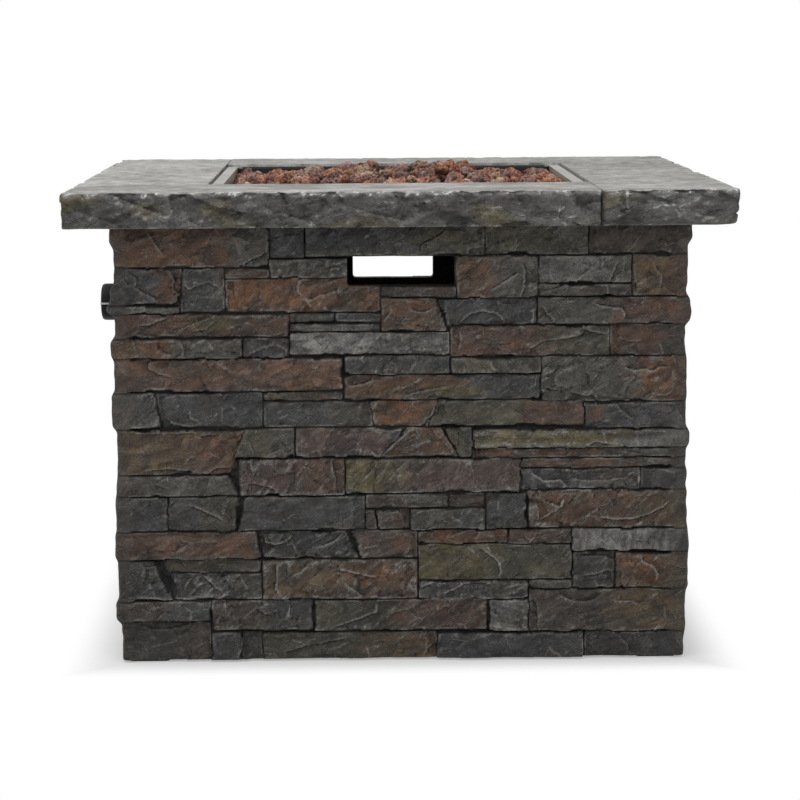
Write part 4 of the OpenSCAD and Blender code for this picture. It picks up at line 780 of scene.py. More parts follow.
def node_group(name, inputs, fill):
    """Node group of this name, filled when it is first asked for."""
    made = bpy.data.node_groups.get(name)
    if not made:
        made = bpy.data.node_groups.new(name, "ShaderNodeTree")
        for label, kind in inputs.items():
            made.interface.new_socket(label, in_out="INPUT", socket_type=SOCKETS[kind])
        tree = Tree(made)
        results = fill(tree, tree.wires("NodeGroupInput"))
        for label, value in results.items():
            made.interface.new_socket(label, in_out="OUTPUT", socket_type=SOCKETS[value.socket.type])
        tree.feed(tree.add("NodeGroupOutput"), results)
    return made


def mottle(tree, start):
    """Fills the group that varies a colour in clouds and fine specks."""
    where = tree.spot()
    cloud = tree.noise(where, 1 / start["Cloud size"], 3.0, 0.5)
    speck = tree.noise(where, 1 / start["Speck size"], 4.0, 0.6)
    gain = 1 + ((cloud - 0.5) * (start["Cloud"] * 2) + (speck - 0.5) * (start["Speck"] * 2))
    return {"Color": tree.shaded(start["Color"], tree.most(gain, 0.1)), "Height": speck}


def mottled(tree, colour, cloud, speck, amount, grain=None):
    """Mottle group placed in a material, as (colour, height)."""
    inputs = {"Color": colour, "Cloud size": cloud, "Speck size": speck, "Cloud": amount,
              "Speck": amount if grain is None else grain}
    kinds = {name: "RGBA" if name == "Color" else "VALUE" for name in inputs}
    made = tree.wires("ShaderNodeGroup", inputs, node_tree=node_group("Mottle", kinds, mottle))
    return made["Color"], made["Height"]


def split_surface(tree, start):
    """Fills the group of split rock over its own coordinates: streaks, scratches, chips, rims that are partly
    painted highlight, and creases of painted shade.
    """
    where = tree.wire("ShaderNodeVectorMath", "Vector", {0: start["Vector"], "Scale": start["Scale"]},
                      operation="SCALE")
    bent = where
    for size, reach in ((30.0, 0.014), (150.0, 0.0040)):
        sway = tree.noise(where, size, 2.0, 0.5, "Color")
        bent = tree.vector("MULTIPLY_ADD", sway, (reach, reach, 0.0), bent)

    def lines(ground, times, scale, detail, rough, low, high):
        return tree.ramp(tree.noise(tree.stretched(ground, times), scale, detail, rough), low, high)

    def patches(scale, low, high):
        return tree.ramp(tree.noise(where, scale, 3.0), low, high)

    streak = tree.noise(tree.stretched(bent, 3.0), 42.0, 8.0, 0.70)
    scratch = lines(where, 4.6, 120.0, 3.0, 0.6, 0.57, 0.66) * patches(24.0, 0.44, 0.58)
    chip = lines(bent, 2.0, 95.0, 5.0, 0.66, 0.53, 0.60)
    hair = lines(bent, 4.0, 330.0, 2.0, 0.5, 0.57, 0.66) * patches(38.0, 0.42, 0.60)
    pit = lines(bent, 2.2, 300.0, 3.0, 0.6, 0.44, 0.36) * patches(31.0, 0.40, 0.56)

    # Flakes: leaning plates broken in straight steps, each with its own height.
    split = tree.stretched(bent, 1.6)
    plates = {"Vector": split, "Scale": FLAKE_SCALE}
    flake = tree.wires("ShaderNodeTexVoronoi", plates, voronoi_dimensions="2D")
    border = tree.wire("ShaderNodeTexVoronoi", "Distance", plates, voronoi_dimensions="2D",
                       feature="DISTANCE_TO_EDGE")
    lean = tree.vector("MULTIPLY_ADD", flake["Color"], (2.0, 2.0, 0.0), (-1.0, -1.0, 0.0))
    slope = (tree.vector("LENGTH", lean, output="Value") + 0.15) * FLAKE_STEPS
    away = tree.vector("SUBTRACT", split, flake["Position"])
    stand = tree.wire("ShaderNodeSeparateColor", "Blue", {"Color": flake["Color"]})
    level = tree.vector("DOT_PRODUCT", away, lean, output="Value") * FLAKE_STEPS + stand * 5.0
    part, whole = tree.math("FRACT", level), tree.math("FLOOR", level)
    after, before = part / slope, (1 - part) / slope
    broken, edged = patches(19.0, 0.46, 0.54), patches(44.0, 0.52, 0.60)
    tone = (tree.math("FRACT", whole * 0.618 + stand * 3.1) - 0.5) * (0.35 + broken * 0.65)
    # Painted highlight along the edges of high flakes and each step's upper edge; painted shade along the edges
    # of low flakes and each step's foot.
    lit = tree.fall(border, 0.012, 0.045) * tree.ramp(stand, 0.45, 0.60)
    shaded_edge = tree.fall(border, 0.010, 0.055) * tree.ramp(stand, 0.55, 0.40)
    rim = tree.most(tree.fall(after, 0.0002, 0.0014) * broken, lit) * edged
    crease_shade = tree.most(tree.fall(before, 0.0002, 0.0020) * broken, shaded_edge) * (0.25 + edged * 0.75)
    ledge = whole + tree.fall(before, 0.0, 0.0016)
    height = streak * 0.55 + scratch * 0.10 + ledge * broken * 0.16 + stand * 0.22 + (rim - crease_shade) * 0.06
    return {"Streak": streak, "Scratch": scratch, "Hair": hair, "Pit": pit, "Chip": chip, "Flake": tone,
            "Rim_and_highlight": rim, "Crease_shade": crease_shade, "Height": height}


def split_rock(tree, scale):
    """Split rock group placed in a material over the piece's flow, as its outputs."""
    group = node_group("Split rock", {"Vector": "VECTOR", "Scale": "VALUE"}, split_surface)
    return tree.wires("ShaderNodeGroup", {"Vector": tree.attribute("flow", "Vector"), "Scale": scale},
                      node_tree=group)


def new_material(name):
    """Material with a bare Principled shader, as (material, tree, shader)."""
    made = bpy.data.materials.new(name)
    made.use_nodes = True
    return made, Tree(made.node_tree), made.node_tree.nodes["Principled BSDF"]


def settings():
    """The fire pit's settings."""
    return bpy.context.scene.fire_pit


def stone_material():
    """Painted cast stone: tint of each stone, light paint on ridges, dark wash in joints and hollows, painted
    shade in the creases, painted highlight on the rims.
    """
    tints = settings().tints
    made, tree, shader = new_material("stacked_stone")
    rock = split_rock(tree, 1.0)
    colour, speck = mottled(tree, tree.attribute("tint", "Color"), 0.013, 0.0019, 0.62, 1.15)
    wear = tree.attribute("wear")
    shade = 1 + (rock["Streak"] - 0.5) * (1.5 + wear * 2.2) + rock["Flake"] * 0.85
    # Painted shade in the creases.
    shade = shade * (1 - rock["Crease_shade"] * 0.72) * (1 - rock["Pit"] * 0.45)
    colour = tree.shaded(colour, tree.most(shade, 0.25))
    crest = (rock["Chip"] * 0.75 + 0.25) * (wear * 0.9 + 0.03)
    # Rims: light paint on ledge edges, partly painted highlight.
    rim = rock["Rim_and_highlight"] * (wear * 0.5 + 0.30)
    score = tree.most(rock["Scratch"] * (wear * 0.5 + 0.34), rock["Hair"] * (wear * 0.5 + 0.36))
    edge = tree.attribute("edge") * tree.ramp(speck, 0.36, 0.58, 0.30, 0.95)
    colour = tree.mix(tree.least(crest + rim + score + edge, 0.9), colour, tints.worn)
    colour = tree.mix(tree.ramp(tree.attribute("joint"), 0.25, 1.0), colour, tints.joint)
    brush = tree.noise(tree.spot(), 260.0, 5.0, 0.65)
    tree.feed(shader, {"Base Color": colour, "Roughness": tree.ramp(brush, 0.3, 0.7, 0.60, 0.84),
                       "Specular IOR Level": STONE_SHINE,
                       "Normal": tree.bump(rock["Height"] + speck * 0.25, 0.0050)})
    return made


def top_material():
    """Cast top: streaked light face, dark split edge with stains and fresh chips, painted shade in its cracks,
    creases and hollows.
    """
    top = settings().top
    made, tree, shader = new_material("cast_top")
    where = tree.spot()
    streak = tree.noise(tree.stretched(where, 4.0), 52.0, 7.0, 0.70)
    bands = tree.ramp(streak * 0.75 + tree.noise(where, 7.0, 5.0) * 0.25, 0.36, 0.58)
    face = tree.mix(bands, top.face_dark, top.face_light)
    # Dark streaks, laid on more thickly on some planks as painted shade.
    face = tree.mix(tree.attribute("plank_shade"), face, top.face_dark)
    lines = tree.ramp(tree.noise(tree.stretched(where, 16.0), 26.0, 5.0, 0.62), 0.40, 0.50, 0.5, 0.0)
    face = tree.mix(lines, face, top.line)
    rock = split_rock(tree, 0.8)
    edge = tree.mix(tree.attribute("stain"), top.edge, top.stain)
    shade = tree.ramp(rock["Streak"], 0.30, 0.70, 0.55, 1.45) + rock["Flake"] * 0.5
    # Painted shade in the creases.
    edge = tree.shaded(edge, shade * (1 - rock["Crease_shade"] * 0.55) * (1 - rock["Pit"] * 0.5))
    side, wear = tree.attribute("side"), tree.attribute("wear")
    colour, speck = mottled(tree, tree.mix(side, face, edge), 0.020, 0.0017, 0.40, 0.80)
    chip = wear * (rock["Chip"] * 0.8 + 0.2)
    # Rims: partly painted highlight.
    rim = rock["Rim_and_highlight"] * side * (wear + 0.08)
    score = rock["Hair"] * side * 0.16
    colour = tree.mix(tree.least(chip + rim + score, 0.85), colour, top.chip)
    # Painted shade in cracks, recesses, the well's inner faces, the ledge and the bed.
    colour = tree.mix(tree.attribute("hollow"), colour, top.hollow)
    brush = tree.noise(where, 330.0, 5.0, 0.65)
    flat = (streak + speck * 0.3) * (0.40 - side * 0.25)
    tree.feed(shader, {"Base Color": colour, "Roughness": tree.ramp(brush, 0.3, 0.7, 0.66, 0.88),
                       "Specular IOR Level": STONE_SHINE,
                       "Normal": tree.bump(rock["Height"] * side + flat, 0.0045, 0.9)})
    return made


def lava_material():
    """Porous lava: tint of each rock, painted shade in the pores and under each rock, painted light on its top.
    """
    rock = settings().rock
    made, tree, shader = new_material("lava")
    where = tree.spot()
    colour, speck = mottled(tree, tree.attribute("tint", "Color"), 0.010, 0.0022, 0.85)
    pit = 0.0
    for size, low, high in ((125.0, 0.10, 0.46), (290.0, 0.12, 0.50)):
        pores = tree.wire("ShaderNodeTexVoronoi", "Distance", {"Vector": where, "Scale": size})
        pit = tree.most(pit, tree.fall(pores, low, high) * tree.ramp(speck, 0.34, 0.56))
    # Painted shade: the pores and each rock's underside take the pore colour.
    colour = tree.mix(pit * 0.85, colour, rock.pore)
    colour = tree.mix(tree.attribute("hollow"), colour, rock.pore)
    tree.feed(shader, {"Base Color": colour, "Roughness": 0.92, "Specular IOR Level": 0.2,
                       "Normal": tree.bump(speck - pit, 0.0034)})
    return made


def solid_material(name, colour, metal, rough, speck=0.001, amount=0.12, depth=0.00008, coat=0.0, shine=0.5):
    """Metal, plastic, rubber or ceramic: mottled colour, uneven roughness and a fine surface."""
    made, tree, shader = new_material(name)
    varied, height = mottled(tree, colour, 0.02, speck, amount)
    uneven = tree.ramp(tree.noise(tree.spot(), 45.0), 0.3, 0.7, max(rough - 0.08, 0.03), rough + 0.08)
    tree.feed(shader, {"Base Color": varied, "Metallic": metal, "Roughness": uneven, "Coat Weight": coat,
                       "Specular IOR Level": shine, "Normal": tree.bump(height, depth, 0.6)})
    return made


def brushed_material(name, colour, rough):
    """Sheet metal with fine brush lines along X, with painted shade on the back of the pan and the middle of
    its back flange.
    """
    made, tree, shader = new_material(name)
    where = tree.spot()
    lines = tree.noise(tree.stretched(where, 1.0, 0.04), 900.0, 3.0, 0.6)
    cloud = tree.noise(where, 14.0)
    varied, _ = mottled(tree, colour, 0.06, 0.003, 0.10)
    varied = tree.mix(tree.ramp(lines, 0.3, 0.7, 0.0, 0.18), varied, tuple(0.6 * c for c in colour))
    # Painted shade: the pan's back wall below the flange and the middle of its back flange are darkened.
    place = tree.wires("ShaderNodeSeparateXYZ", {"Vector": where})
    painted_shade_mask = tree.ramp(place["Y"], *PAN_SHADE_BACK) * tree.fall(place["Z"], *PAN_SHADE_FADE)
    flange_shade = tree.fall(tree.math("ABSOLUTE", place["X"]) + cloud * 0.012, *PAN_SHADE_WIDTH)
    painted_shade_mask = tree.most(painted_shade_mask, flange_shade * tree.ramp(place["Y"], *PAN_SHADE_FLANGE))
    tree.feed(shader, {"Base Color": tree.mix(painted_shade_mask, varied, settings().metal.back_shade), "Metallic": 0.85,
                       "Roughness": tree.ramp(cloud, 0.3, 0.7, rough - 0.07, rough + 0.09),
                       "Normal": tree.bump(lines, 0.00005, 0.5)})
    return made


# Walls


def sharp_corners(outline, cut):
    """Convex outline whose short corner sides are dropped, so that the long sides meet."""
    ways = np.roll(outline, -1, axis=0) - outline
    size = np.hypot(*ways.T)
    oblique = np.abs(ways).min(axis=1) > 0.3 * size
    kept = np.flatnonzero((size > cut) | ~oblique & (size > 0.5))
    if len(kept) < 3:
        return outline
    corners = []
    for first, second in zip(kept, np.roll(kept, -1)):
        a, b, gap = ways[first], ways[second], outline[second] - outline[first]
        cross = a[0] * b[1] - a[1] * b[0]
        if cross < 0.05 * size[first] * size[second]:
            corners.append(outline[second])
        else:
            corners.append(outline[first] + a * (gap[0] * b[1] - gap[1] * b[0]) / cross)
    return np.array(corners)


def wall_stones(node, turn, sizes):
    """Stones of a wall, read from the CAD faces that stand out of its core: outline and face plane, in mm."""
    core = sizes.core_half / MM
    triangles = turned(cad_triangles(node), -turn)
    across = np.cross(triangles[:, 1] - triangles[:, 0], triangles[:, 2] - triangles[:, 0])
    facing = across[:, 1] / np.linalg.norm(across, axis=1).clip(1e-9)
    out = triangles[(facing < -0.99) & (-triangles[:, :, 1].max(axis=1) > core + 1)]
    label = islands(out)
    stones = []
    for number in np.unique(label):
        points = out[label == number].reshape(-1, 3)
        flat = points[:, [0, 2]]
        outline = flat[convex_hull_2d([Vector(p) for p in flat])]
        (x, z), (next_x, next_z) = outline.T, np.roll(outline, -1, axis=0).T
        area = (x * next_z - next_x * z).sum() / 2
        if abs(area) < 60:
            continue
        if area < 0:
            outline = outline[::-1]
        outline = sharp_corners(outline, sizes.corner_cut / MM)
        terms = np.c_[np.ones(len(points)), flat]
        plane = np.linalg.lstsq(terms, -points[:, 1] - core, rcond=None)[0]
        stones.append({"outline": outline, "plane": plane, "low": flat.min(axis=0), "high": flat.max(axis=0)})
    return stones


def inside_distance(outline, x, z):
    """Distance of points inside a convex outline from its nearest side, and the way that leads deeper."""
    nearest = np.full(x.shape, 1e9)
    deeper = np.zeros((len(x), 2))
    for start, end in zip(outline, np.roll(outline, -1, axis=0)):
        along = end - start
        size = np.hypot(*along)
        if size > 0.05:
            away = (along[0] * (z - start[1]) - along[1] * (x - start[0])) / size
            closer = away < nearest
            nearest = np.where(closer, away, nearest)
            deeper[closer] = (-along[1] / size, along[0] / size)
    return nearest, deeper


def line_distance(line, spots):
    """From the nearest point of an open line to each spot, that point's distance from the line's nearer end
    along the line, and the distance to the left of the line (below 0 to its right)."""
    sizes = np.hypot(*np.diff(line, axis=0).T)
    best, walked = np.full(len(spots), 1e9), 0.0
    back, share, left = np.zeros(spots.shape), np.zeros(len(spots)), np.zeros(len(spots))
    for start, end, size in zip(line, line[1:], sizes):
        along = (end - start) / size
        gap = spots - start
        t = np.clip(gap @ along, 0, size)
        off = gap - t[:, None] * along
        away = np.hypot(*off.T)
        closer = away < best
        best = np.where(closer, away, best)
        back = np.where(closer[:, None], off, back)
        share = np.where(closer, np.minimum(walked + t, sizes.sum() - walked - t), share)
        left = np.where(closer, away * np.sign(along[0] * gap[:, 1] - along[1] * gap[:, 0]), left)
        walked += size
    return back, share, left


class WallFace:
    """Relief and colours of one wall's outer face."""

    def __init__(self, node, sizes, tints):
        self.node = node
        self.turn, self.corners, self.name = WALLS[node]
        self.sizes, self.tints = sizes, tints
        self.core = sizes.core_half / MM
        self.half = self.core + FACE_MARGIN
        self.low, self.high = sizes.low / MM, sizes.high / MM
        self.seed = 1000 * (list(WALLS).index(node) + 1)
        self.stones = wall_stones(node, self.turn, sizes)
        self.flip = -1 if node in MIRRORED_WALLS else 1
        self.pad = None
        if node == "left_wall":
            low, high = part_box("control_panel")
            margin = sizes.pad_margin / MM
            self.pad = (high.y / MM + margin, low.z / MM - margin, high.z / MM + margin)
        self.describe()

    def describe(self):
        """Each stone's finish: from the front's list, with the middle stones shuffled on the other walls."""
        draw = np.random.default_rng(self.seed)
        rows = np.array([row[:2] for row in STONES], float)
        inner = [k for k, row in enumerate(STONES) if abs(row[0]) < INNER_STONES]
        shuffled = dict(zip(inner, draw.permutation(inner)))
        for stone in self.stones:
            middle = (stone["low"] + stone["high"]) / 2
            place = np.array([self.flip * middle[0], middle[1] - self.low])
            k = int(np.argmin(((rows - place) ** 2).sum(axis=1)))
            if self.node != "front_wall":
                k = shuffled.get(k, k)
            _, _, left, right, split, kind, slope, wear = STONES[k]
            if self.flip < 0 and k not in inner:
                left, right, split = right, left, 1 - split
            stone.update(left=self.tint(left), right=self.tint(right), split=split, depths=KINDS[kind],
                         slope=math.radians(self.flip * slope), wear=wear,
                         shift=draw.uniform(0, 900, 2), shelf=draw.choice((-1, 0, 0, 1)),
                         shelf_wide=draw.uniform(5, 16), gain=draw.uniform(0.86, 1.12), middle=middle)
            # Stones at the wall's rim are drawn out past it.
            wide = stone["outline"].copy()
            past = np.abs(wide[:, 0]) > self.core - 9
            wide[past, 0] = np.sign(wide[past, 0]) * (self.core + 60)
            wide[wide[:, 1] < self.low + 1, 1] = self.low - 40
            wide[wide[:, 1] > self.high - 1, 1] = self.high + 40
            stone["outline"] = wide

    def tint(self, name):
        """A colour of the stones by its name."""
        return np.array(getattr(self.tints, name))

    def gather(self, key, owner):
        """A value of the stone that owns each point."""
        return np.array([stone[key] for stone in self.stones])[owner]

    def owners(self, x, z):
        """Owner of each point, the distance inside its outline, and the way to the joint's middle line."""
        best, second = np.full(x.shape, -60.0), np.full(x.shape, -60.0)
        way, second_way = np.zeros((len(x), 2)), np.zeros((len(x), 2))
        owner = np.zeros(x.shape, int)
        for k, stone in enumerate(self.stones):
            low, high = stone["outline"].min(axis=0) - 12, stone["outline"].max(axis=0) + 12
            near = np.flatnonzero((x > low[0]) & (x < high[0]) & (z > low[1]) & (z < high[1]))
            away, deeper = inside_distance(stone["outline"], x[near], z[near])
            first = away > best[near]
            moved = near[first]
            second[moved], second_way[moved] = best[moved], way[moved]
            best[moved], way[moved], owner[moved] = away[first], deeper[first], k
            other = ~first & (away > second[near])
            second[near[other]], second_way[near[other]] = away[other], deeper[other]
        turn = way - second_way
        size = (turn ** 2).sum(axis=1)
        to_joint = -turn * ((best - second) / np.maximum(size, 0.3))[:, None]
        to_joint[(second < -8) | (size < 0.3)] = 99
        return owner, best, to_joint, np.abs(way[:, 1])

    def warped(self, x, z):
        """Points moved a little so that the joints wander."""
        end = np.where(x < 0, self.corners[0], self.corners[1]) * 57.3
        corner = 1 - ramp(10, 42, self.half - np.abs(x))
        seed = self.seed
        side = 0.9 * noise(x / 24, z / 19, seed=seed) + 0.45 * noise(x / 8, z / 8, seed=seed + 1)
        rise = 1.2 * noise(x / 34, z / 26, seed=seed + 2) + 0.5 * noise(x / 9, z / 8, seed=seed + 3)
        rise_end = 1.2 * noise(z / 21, end, seed=3) + 0.5 * noise(z / 6, end, seed=4)
        return x + (1 - corner) * side, z + (1 - corner) * rise + corner * rise_end, corner, end

    def cracked(self, x, z):
        """Ledges at each point: how far it is sunk, painted shadow at its foot, light edge, way to the nearest
        line.
        """
        spots = np.c_[x + 0.7 * noise(x / 7, z / 7, seed=31), z + 0.7 * noise(x / 7, z / 7, seed=32)]
        reach = self.sizes.ledge_reach / MM
        sunk, dark, light = np.zeros(x.shape), np.zeros(x.shape), np.zeros(x.shape)
        way = np.full(spots.shape, 99.0)
        for drop, glint, *flat in CRACKS:
            line = np.reshape(flat, (-1, 2)) * (self.flip, 1) + (0, self.low)
            close = (spots > line.min(axis=0) - reach) & (spots < line.max(axis=0) + reach)
            near = np.flatnonzero(close.all(axis=1))
            back, share, under = line_distance(line, spots[near])
            away = np.hypot(*back.T)
            under = under * np.sign(drop * self.flip or 1)
            taper = ramp(0, 7, share)
            lower = ramp(0.25, 0.6, under) * (1 - ramp(1, reach, away)) * taper
            sunk[near] += 1.7 * abs(drop) * lower
            # Painted shadow along the ledge's foot, on its lower side.
            foot = min(1, abs(drop) / 1.2) * np.exp(-((under - 1.2) / 1.3) ** 2)
            edge = np.exp(-((under + (0.5 if drop else 0)) / 0.85) ** 2)
            dark[near] = np.maximum(dark[near], foot * taper)
            light[near] = np.maximum(light[near], glint * edge * taper)
            closer = near[(away < np.hypot(*way[near].T)) & (share > 0)]
            way[closer] = -back[np.isin(near, closer)]
        return sunk, dark, light, way

    def gaping(self, x, z):
        """How much wider the joint next to each point gapes, to one side."""
        wide = np.zeros(x.shape)
        spots = np.c_[x, z]
        for more, *flat in GAPES:
            line = np.reshape(flat, (2, 2)) * (self.flip, 1) + (0, self.low)
            back, share, _ = line_distance(line, spots)
            here = more * (1 - ramp(6, 9, np.hypot(*back.T))) * ramp(0, 9, share)
            wide = np.maximum(wide, here)
        return wide

    def to_line(self, x, z):
        """Way from each point to the nearest joint's middle line or ledge."""
        px, pz, _, _ = self.warped(x, z)
        joint, crack = self.owners(px, pz)[2], self.cracked(x, z)[3]
        return np.where((np.hypot(*crack.T) < np.hypot(*joint.T))[:, None], crack, joint)

    def relief(self, x, z, owner, corner, end):
        """Depth of the broken surface over each stone's plane, and the stone's own coordinates."""
        seed = self.seed
        middle, shift, slope = (self.gather(key, owner) for key in ("middle", "shift", "slope"))
        dx, dz = x - middle[:, 0], z - middle[:, 1]
        u = dx * np.cos(slope) + dz * np.sin(slope) + shift[:, 0]
        v = dz * np.cos(slope) - dx * np.sin(slope) + shift[:, 1]
        streaks, ledges, grain, layers, facets = self.gather("depths", owner).T
        bend = 4 * noise(u / 45, v / 30, seed=7)
        ridge = 1 - 2.4 * np.abs(noise(u / 40, (v + bend) / 8, seed=8))
        ledge = steps(1.9 * noise(u / 55, (v + bend) / 18, seed=9) + 3.1, 0.2) - 3.1
        fine = fractal(x / 6, z / 6, seed=seed + 10, octaves=2)
        layer = steps(2.6 * noise(dx / 120 + shift[:, 0], (z + bend) / 11, seed=11) + 3.3, 0.3) - 3.3
        number, to_x, to_z, border = cells((u + 4 * fine) / 38, (v + bend) / 23, seed=12)
        facet = 1.7 * leaning(number, to_x, to_z) + 1.0 * (number - 0.5)
        facet = facet - 0.9 * (1 - ramp(0, 0.06, border))
        depth = (streaks * ridge + 1.2 * ledges * ledge + grain * fine + layers * layer + facets * facet
                 + 0.6 * noise(x / 40, z / 26, seed=seed + 16))
        shelf, wide = self.gather("shelf", owner), self.gather("shelf_wide", owner)
        low, high = self.gather("low", owner)[:, 0], self.gather("high", owner)[:, 0]
        from_end = np.where(shelf > 0, high - x, x - low) + 4 * noise(z / 8, x / 8, seed=seed + 13)
        depth = depth - np.where(shelf == 0, 0, 2.8) * (1 - ramp(wide - 1, wide + 1, from_end))
        depth_end = 1.1 * noise(z / 12, end, seed=5) + 0.5 * noise(z / 4, end, seed=6)
        return (1 - corner) * depth + corner * depth_end, u, v

    def pad_depth(self, x, z):
        """Distance inside the flat pad round the control panel, below 0 outside."""
        if not self.pad:
            return np.full(x.shape, -1e9)
        wide, low, high = self.pad
        return np.minimum(wide - np.abs(x), np.minimum(z - low, high - z))

    def field(self, x, z):
        """Height over the core, and what the colours need, at points of the wall."""
        px, pz, corner, end = self.warped(x, z)
        owner, inside, _, lying = self.owners(px, pz)
        deep = inside + self.sizes.joint / MM / 2
        plane = self.gather("plane", owner)
        face = plane[:, 0] + plane[:, 1] * x + plane[:, 2] * z
        depth, u, v = self.relief(x, z, owner, corner, end)
        seed = self.seed
        broad = 17 * noise(x / 26, z / 16, seed=seed + 15) + 1.5 * noise(x / 5, z / 5, seed=seed + 19) - 3
        chip = 2.0 * (1 - ramp(broad - 0.7, broad + 0.7, deep))
        edge = 0.85 + 0.4 * noise(x / 13, z / 13, seed=seed + 14)
        gap = lying * (0.1 + 2.4 * ramp(0.22, 0.8, noise(x / 38, z / 13, seed=seed + 17)))
        gape = self.gaping(x, z)
        gap = np.maximum(gap, gape * (0.8 + 0.5 * noise(x / 9, z / 9, seed=seed + 28)))
        sunk, dark, light, _ = self.cracked(x, z)
        depth = depth - (1 - corner) * sunk
        floor = self.sizes.joint_depth / MM + 4.2 * ramp(-0.35, 0.35, noise(x / 60, z / 16, seed=seed + 27))
        pad = self.pad_depth(x, z)
        deep = np.minimum(deep, -pad - 1.2)
        on_pad = pad > deep
        deep, face = np.where(on_pad, pad + 0.5, deep), np.where(on_pad, PAD_HEIGHT, face)
        depth, chip, dark, light = (np.where(on_pad, 0, part) for part in (depth, chip, dark, light))
        t = np.clip((deep - gap) / edge, 0, 1)
        rise = np.sqrt(1 - (1 - t) ** 2)
        fade = 1 - ramp(12, 20, self.half - np.abs(x) + 6 * noise(z / 13, end, seed=18))
        height = floor + (face + depth - (1 - corner) * chip - floor) * (rise + (1 - rise) * 0.9 * fade)
        return {"x": x, "z": z, "owner": owner, "border": deep - gap, "deep": deep, "u": u, "v": v,
                "fade": fade, "height": height, "on_pad": on_pad, "lying": lying, "gape": gape,
                "dark": dark, "light": light}

    def end_profile(self, rows):
        """How far the wall's two ends stand out over its core, for each row."""
        ends = np.repeat([-self.half, self.half], len(rows))
        proud = self.field(ends, np.tile(rows, 2))["height"].reshape(2, -1)
        window = np.hanning(9) / np.hanning(9).sum()
        smooth = np.array([np.convolve(np.pad(line, 4, mode="edge"), window, "valid") for line in proud])
        smooth += self.sizes.end_out / MM + self.sizes.cap_out / MM * ramp(518, 531, rows)
        lump = self.sizes.lump_out / MM * (1 - ramp(9, 23, np.abs(rows - self.sizes.lump_height / MM)))
        smooth[[corner == 0 for corner in self.corners]] += lump
        return smooth

    def stone_colour(self, at):
        """Colour of each point: tints of its stone, patches, dark wash, painted shade toward the joints and the
        floor.
        """
        x, z, u, v, owner = at["x"], at["z"], at["u"], at["v"], at["owner"]
        low, high = self.gather("low", owner)[:, 0], self.gather("high", owner)[:, 0]
        along = (x - low) / np.maximum(high - low, 1) + 0.16 * fractal(u / 30, v / 9, seed=21)
        split = self.gather("split", owner)
        share = ramp(split - 0.07, split + 0.07, along)[:, None]
        colour = self.gather("left", owner) * (1 - share) + self.gather("right", owner) * share
        if self.node == "front_wall":
            for px, pz, wide, tall, name in PATCHES:
                away = np.hypot((x - px) / wide, (z - self.low - pz) / tall) + 0.5 * noise(u / 18, v / 5)
                near = (1 - ramp(0.6, 1.15, away))[:, None]
                colour = colour * (1 - near) + self.tint(name) * near
        wash = 0.12 + 0.46 * ramp(-0.35, 0.6, fractal(x / 42, z / 20, seed=self.seed + 26))
        wash = np.maximum(wash, 0.65 * at["fade"])[:, None]
        colour = colour * (1 - wash) + self.tint("wash") * wash
        vary = 1 + 0.30 * fractal(u / 26, v / 8, seed=22) + 0.26 * fractal(x / 55, z / 40, seed=self.seed)
        # Painted shade: the stones darken toward the floor and, in patches, next to the joints.
        floor_and_joint_shade = 0.80 + 0.33 * (z - self.low) / (self.high - self.low)
        painted_shade_mask = ramp(-0.35, 0.45, noise(x / 34, z / 24, seed=self.seed + 29))
        floor_and_joint_shade = floor_and_joint_shade * (1 - (0.12 + 0.26 * painted_shade_mask) * (1 - ramp(1.5, 11, at["border"])) * (1 - at["fade"]))
        colour = colour * (vary * floor_and_joint_shade * self.gather("gain", owner)).clip(0.3, 2)[:, None]
        colour[at["on_pad"]] = self.tint("umber") * 0.8
        return colour

    def colours(self, at, height, shape):
        """Tint, light wear, light edges and dark joints of each point, with painted shadow in lying and gaping
        joints and at the foot of ledges.
        """
        x, z = at["x"], at["z"]
        proud = (height - soften(height.reshape(shape), 5).ravel()) * ramp(1.0, 4.5, at["deep"])
        patch = 0.35 + 0.65 * ramp(-0.3, 0.5, noise(x / 30, z / 22, seed=self.seed + 23))
        wear = ramp(0.10, 0.75, proud) * patch
        rim = np.exp(-((at["border"] - 1.3) / 0.9) ** 2)
        rim = rim * ramp(-0.2, 0.5, noise(x / 22, z / 22, seed=self.seed + 24))
        paint = self.gather("wear", at["owner"])
        edge = rim * (0.45 + 0.45 * paint) * (1 - at["fade"])
        wear = np.clip((wear + 0.4 * rim) * paint * (1 - 0.6 * at["fade"]), 0, 1)
        # Painted shadow: lying joints, under the upper stone, and gaping joints are darker.
        black = np.clip(0.62 + 0.34 * at["lying"] + 0.3 * at["gape"], 0, 1)
        joint = (1 - ramp(0.0, 1.3 + 0.4 * at["lying"], at["border"])) * black
        joint = np.clip(joint * (1 - 0.9 * at["fade"]) + 0.5 * ramp(0.2, 1.2, -proud), 0, 1)
        # Painted shadow along the foot of each ledge.
        joint = np.maximum(joint, 0.85 * at["dark"])
        edge = np.maximum(edge, 1.4 * at["light"] * (1 - 0.7 * at["fade"]))
        return {"tint": self.stone_colour(at), "wear": np.where(at["on_pad"], 0.1, wear), "joint": joint,
                "edge": np.where(at["on_pad"], 0, edge)}


def rounded_box_point(x, z, wide, low, high, radius):
    """Nearest point on a rounded window's outline."""
    middle = (low + high) / 2
    half_x, half_z = wide / 2, (high - low) / 2
    dx, dz = abs(x), abs(z - middle)
    core_x, core_z = min(dx, half_x - radius), min(dz, half_z - radius)
    away_x, away_z = dx - core_x, dz - core_z
    if away_x > 1e-6 and away_z > 1e-6:
        size = math.hypot(away_x, away_z)
        new_x, new_z = core_x + away_x * radius / size, core_z + away_z * radius / size
    elif half_x - dx < half_z - dz:
        new_x, new_z = half_x, dz
    else:
        new_x, new_z = dx, half_z
    return math.copysign(new_x, x), middle + math.copysign(new_z, z - middle)


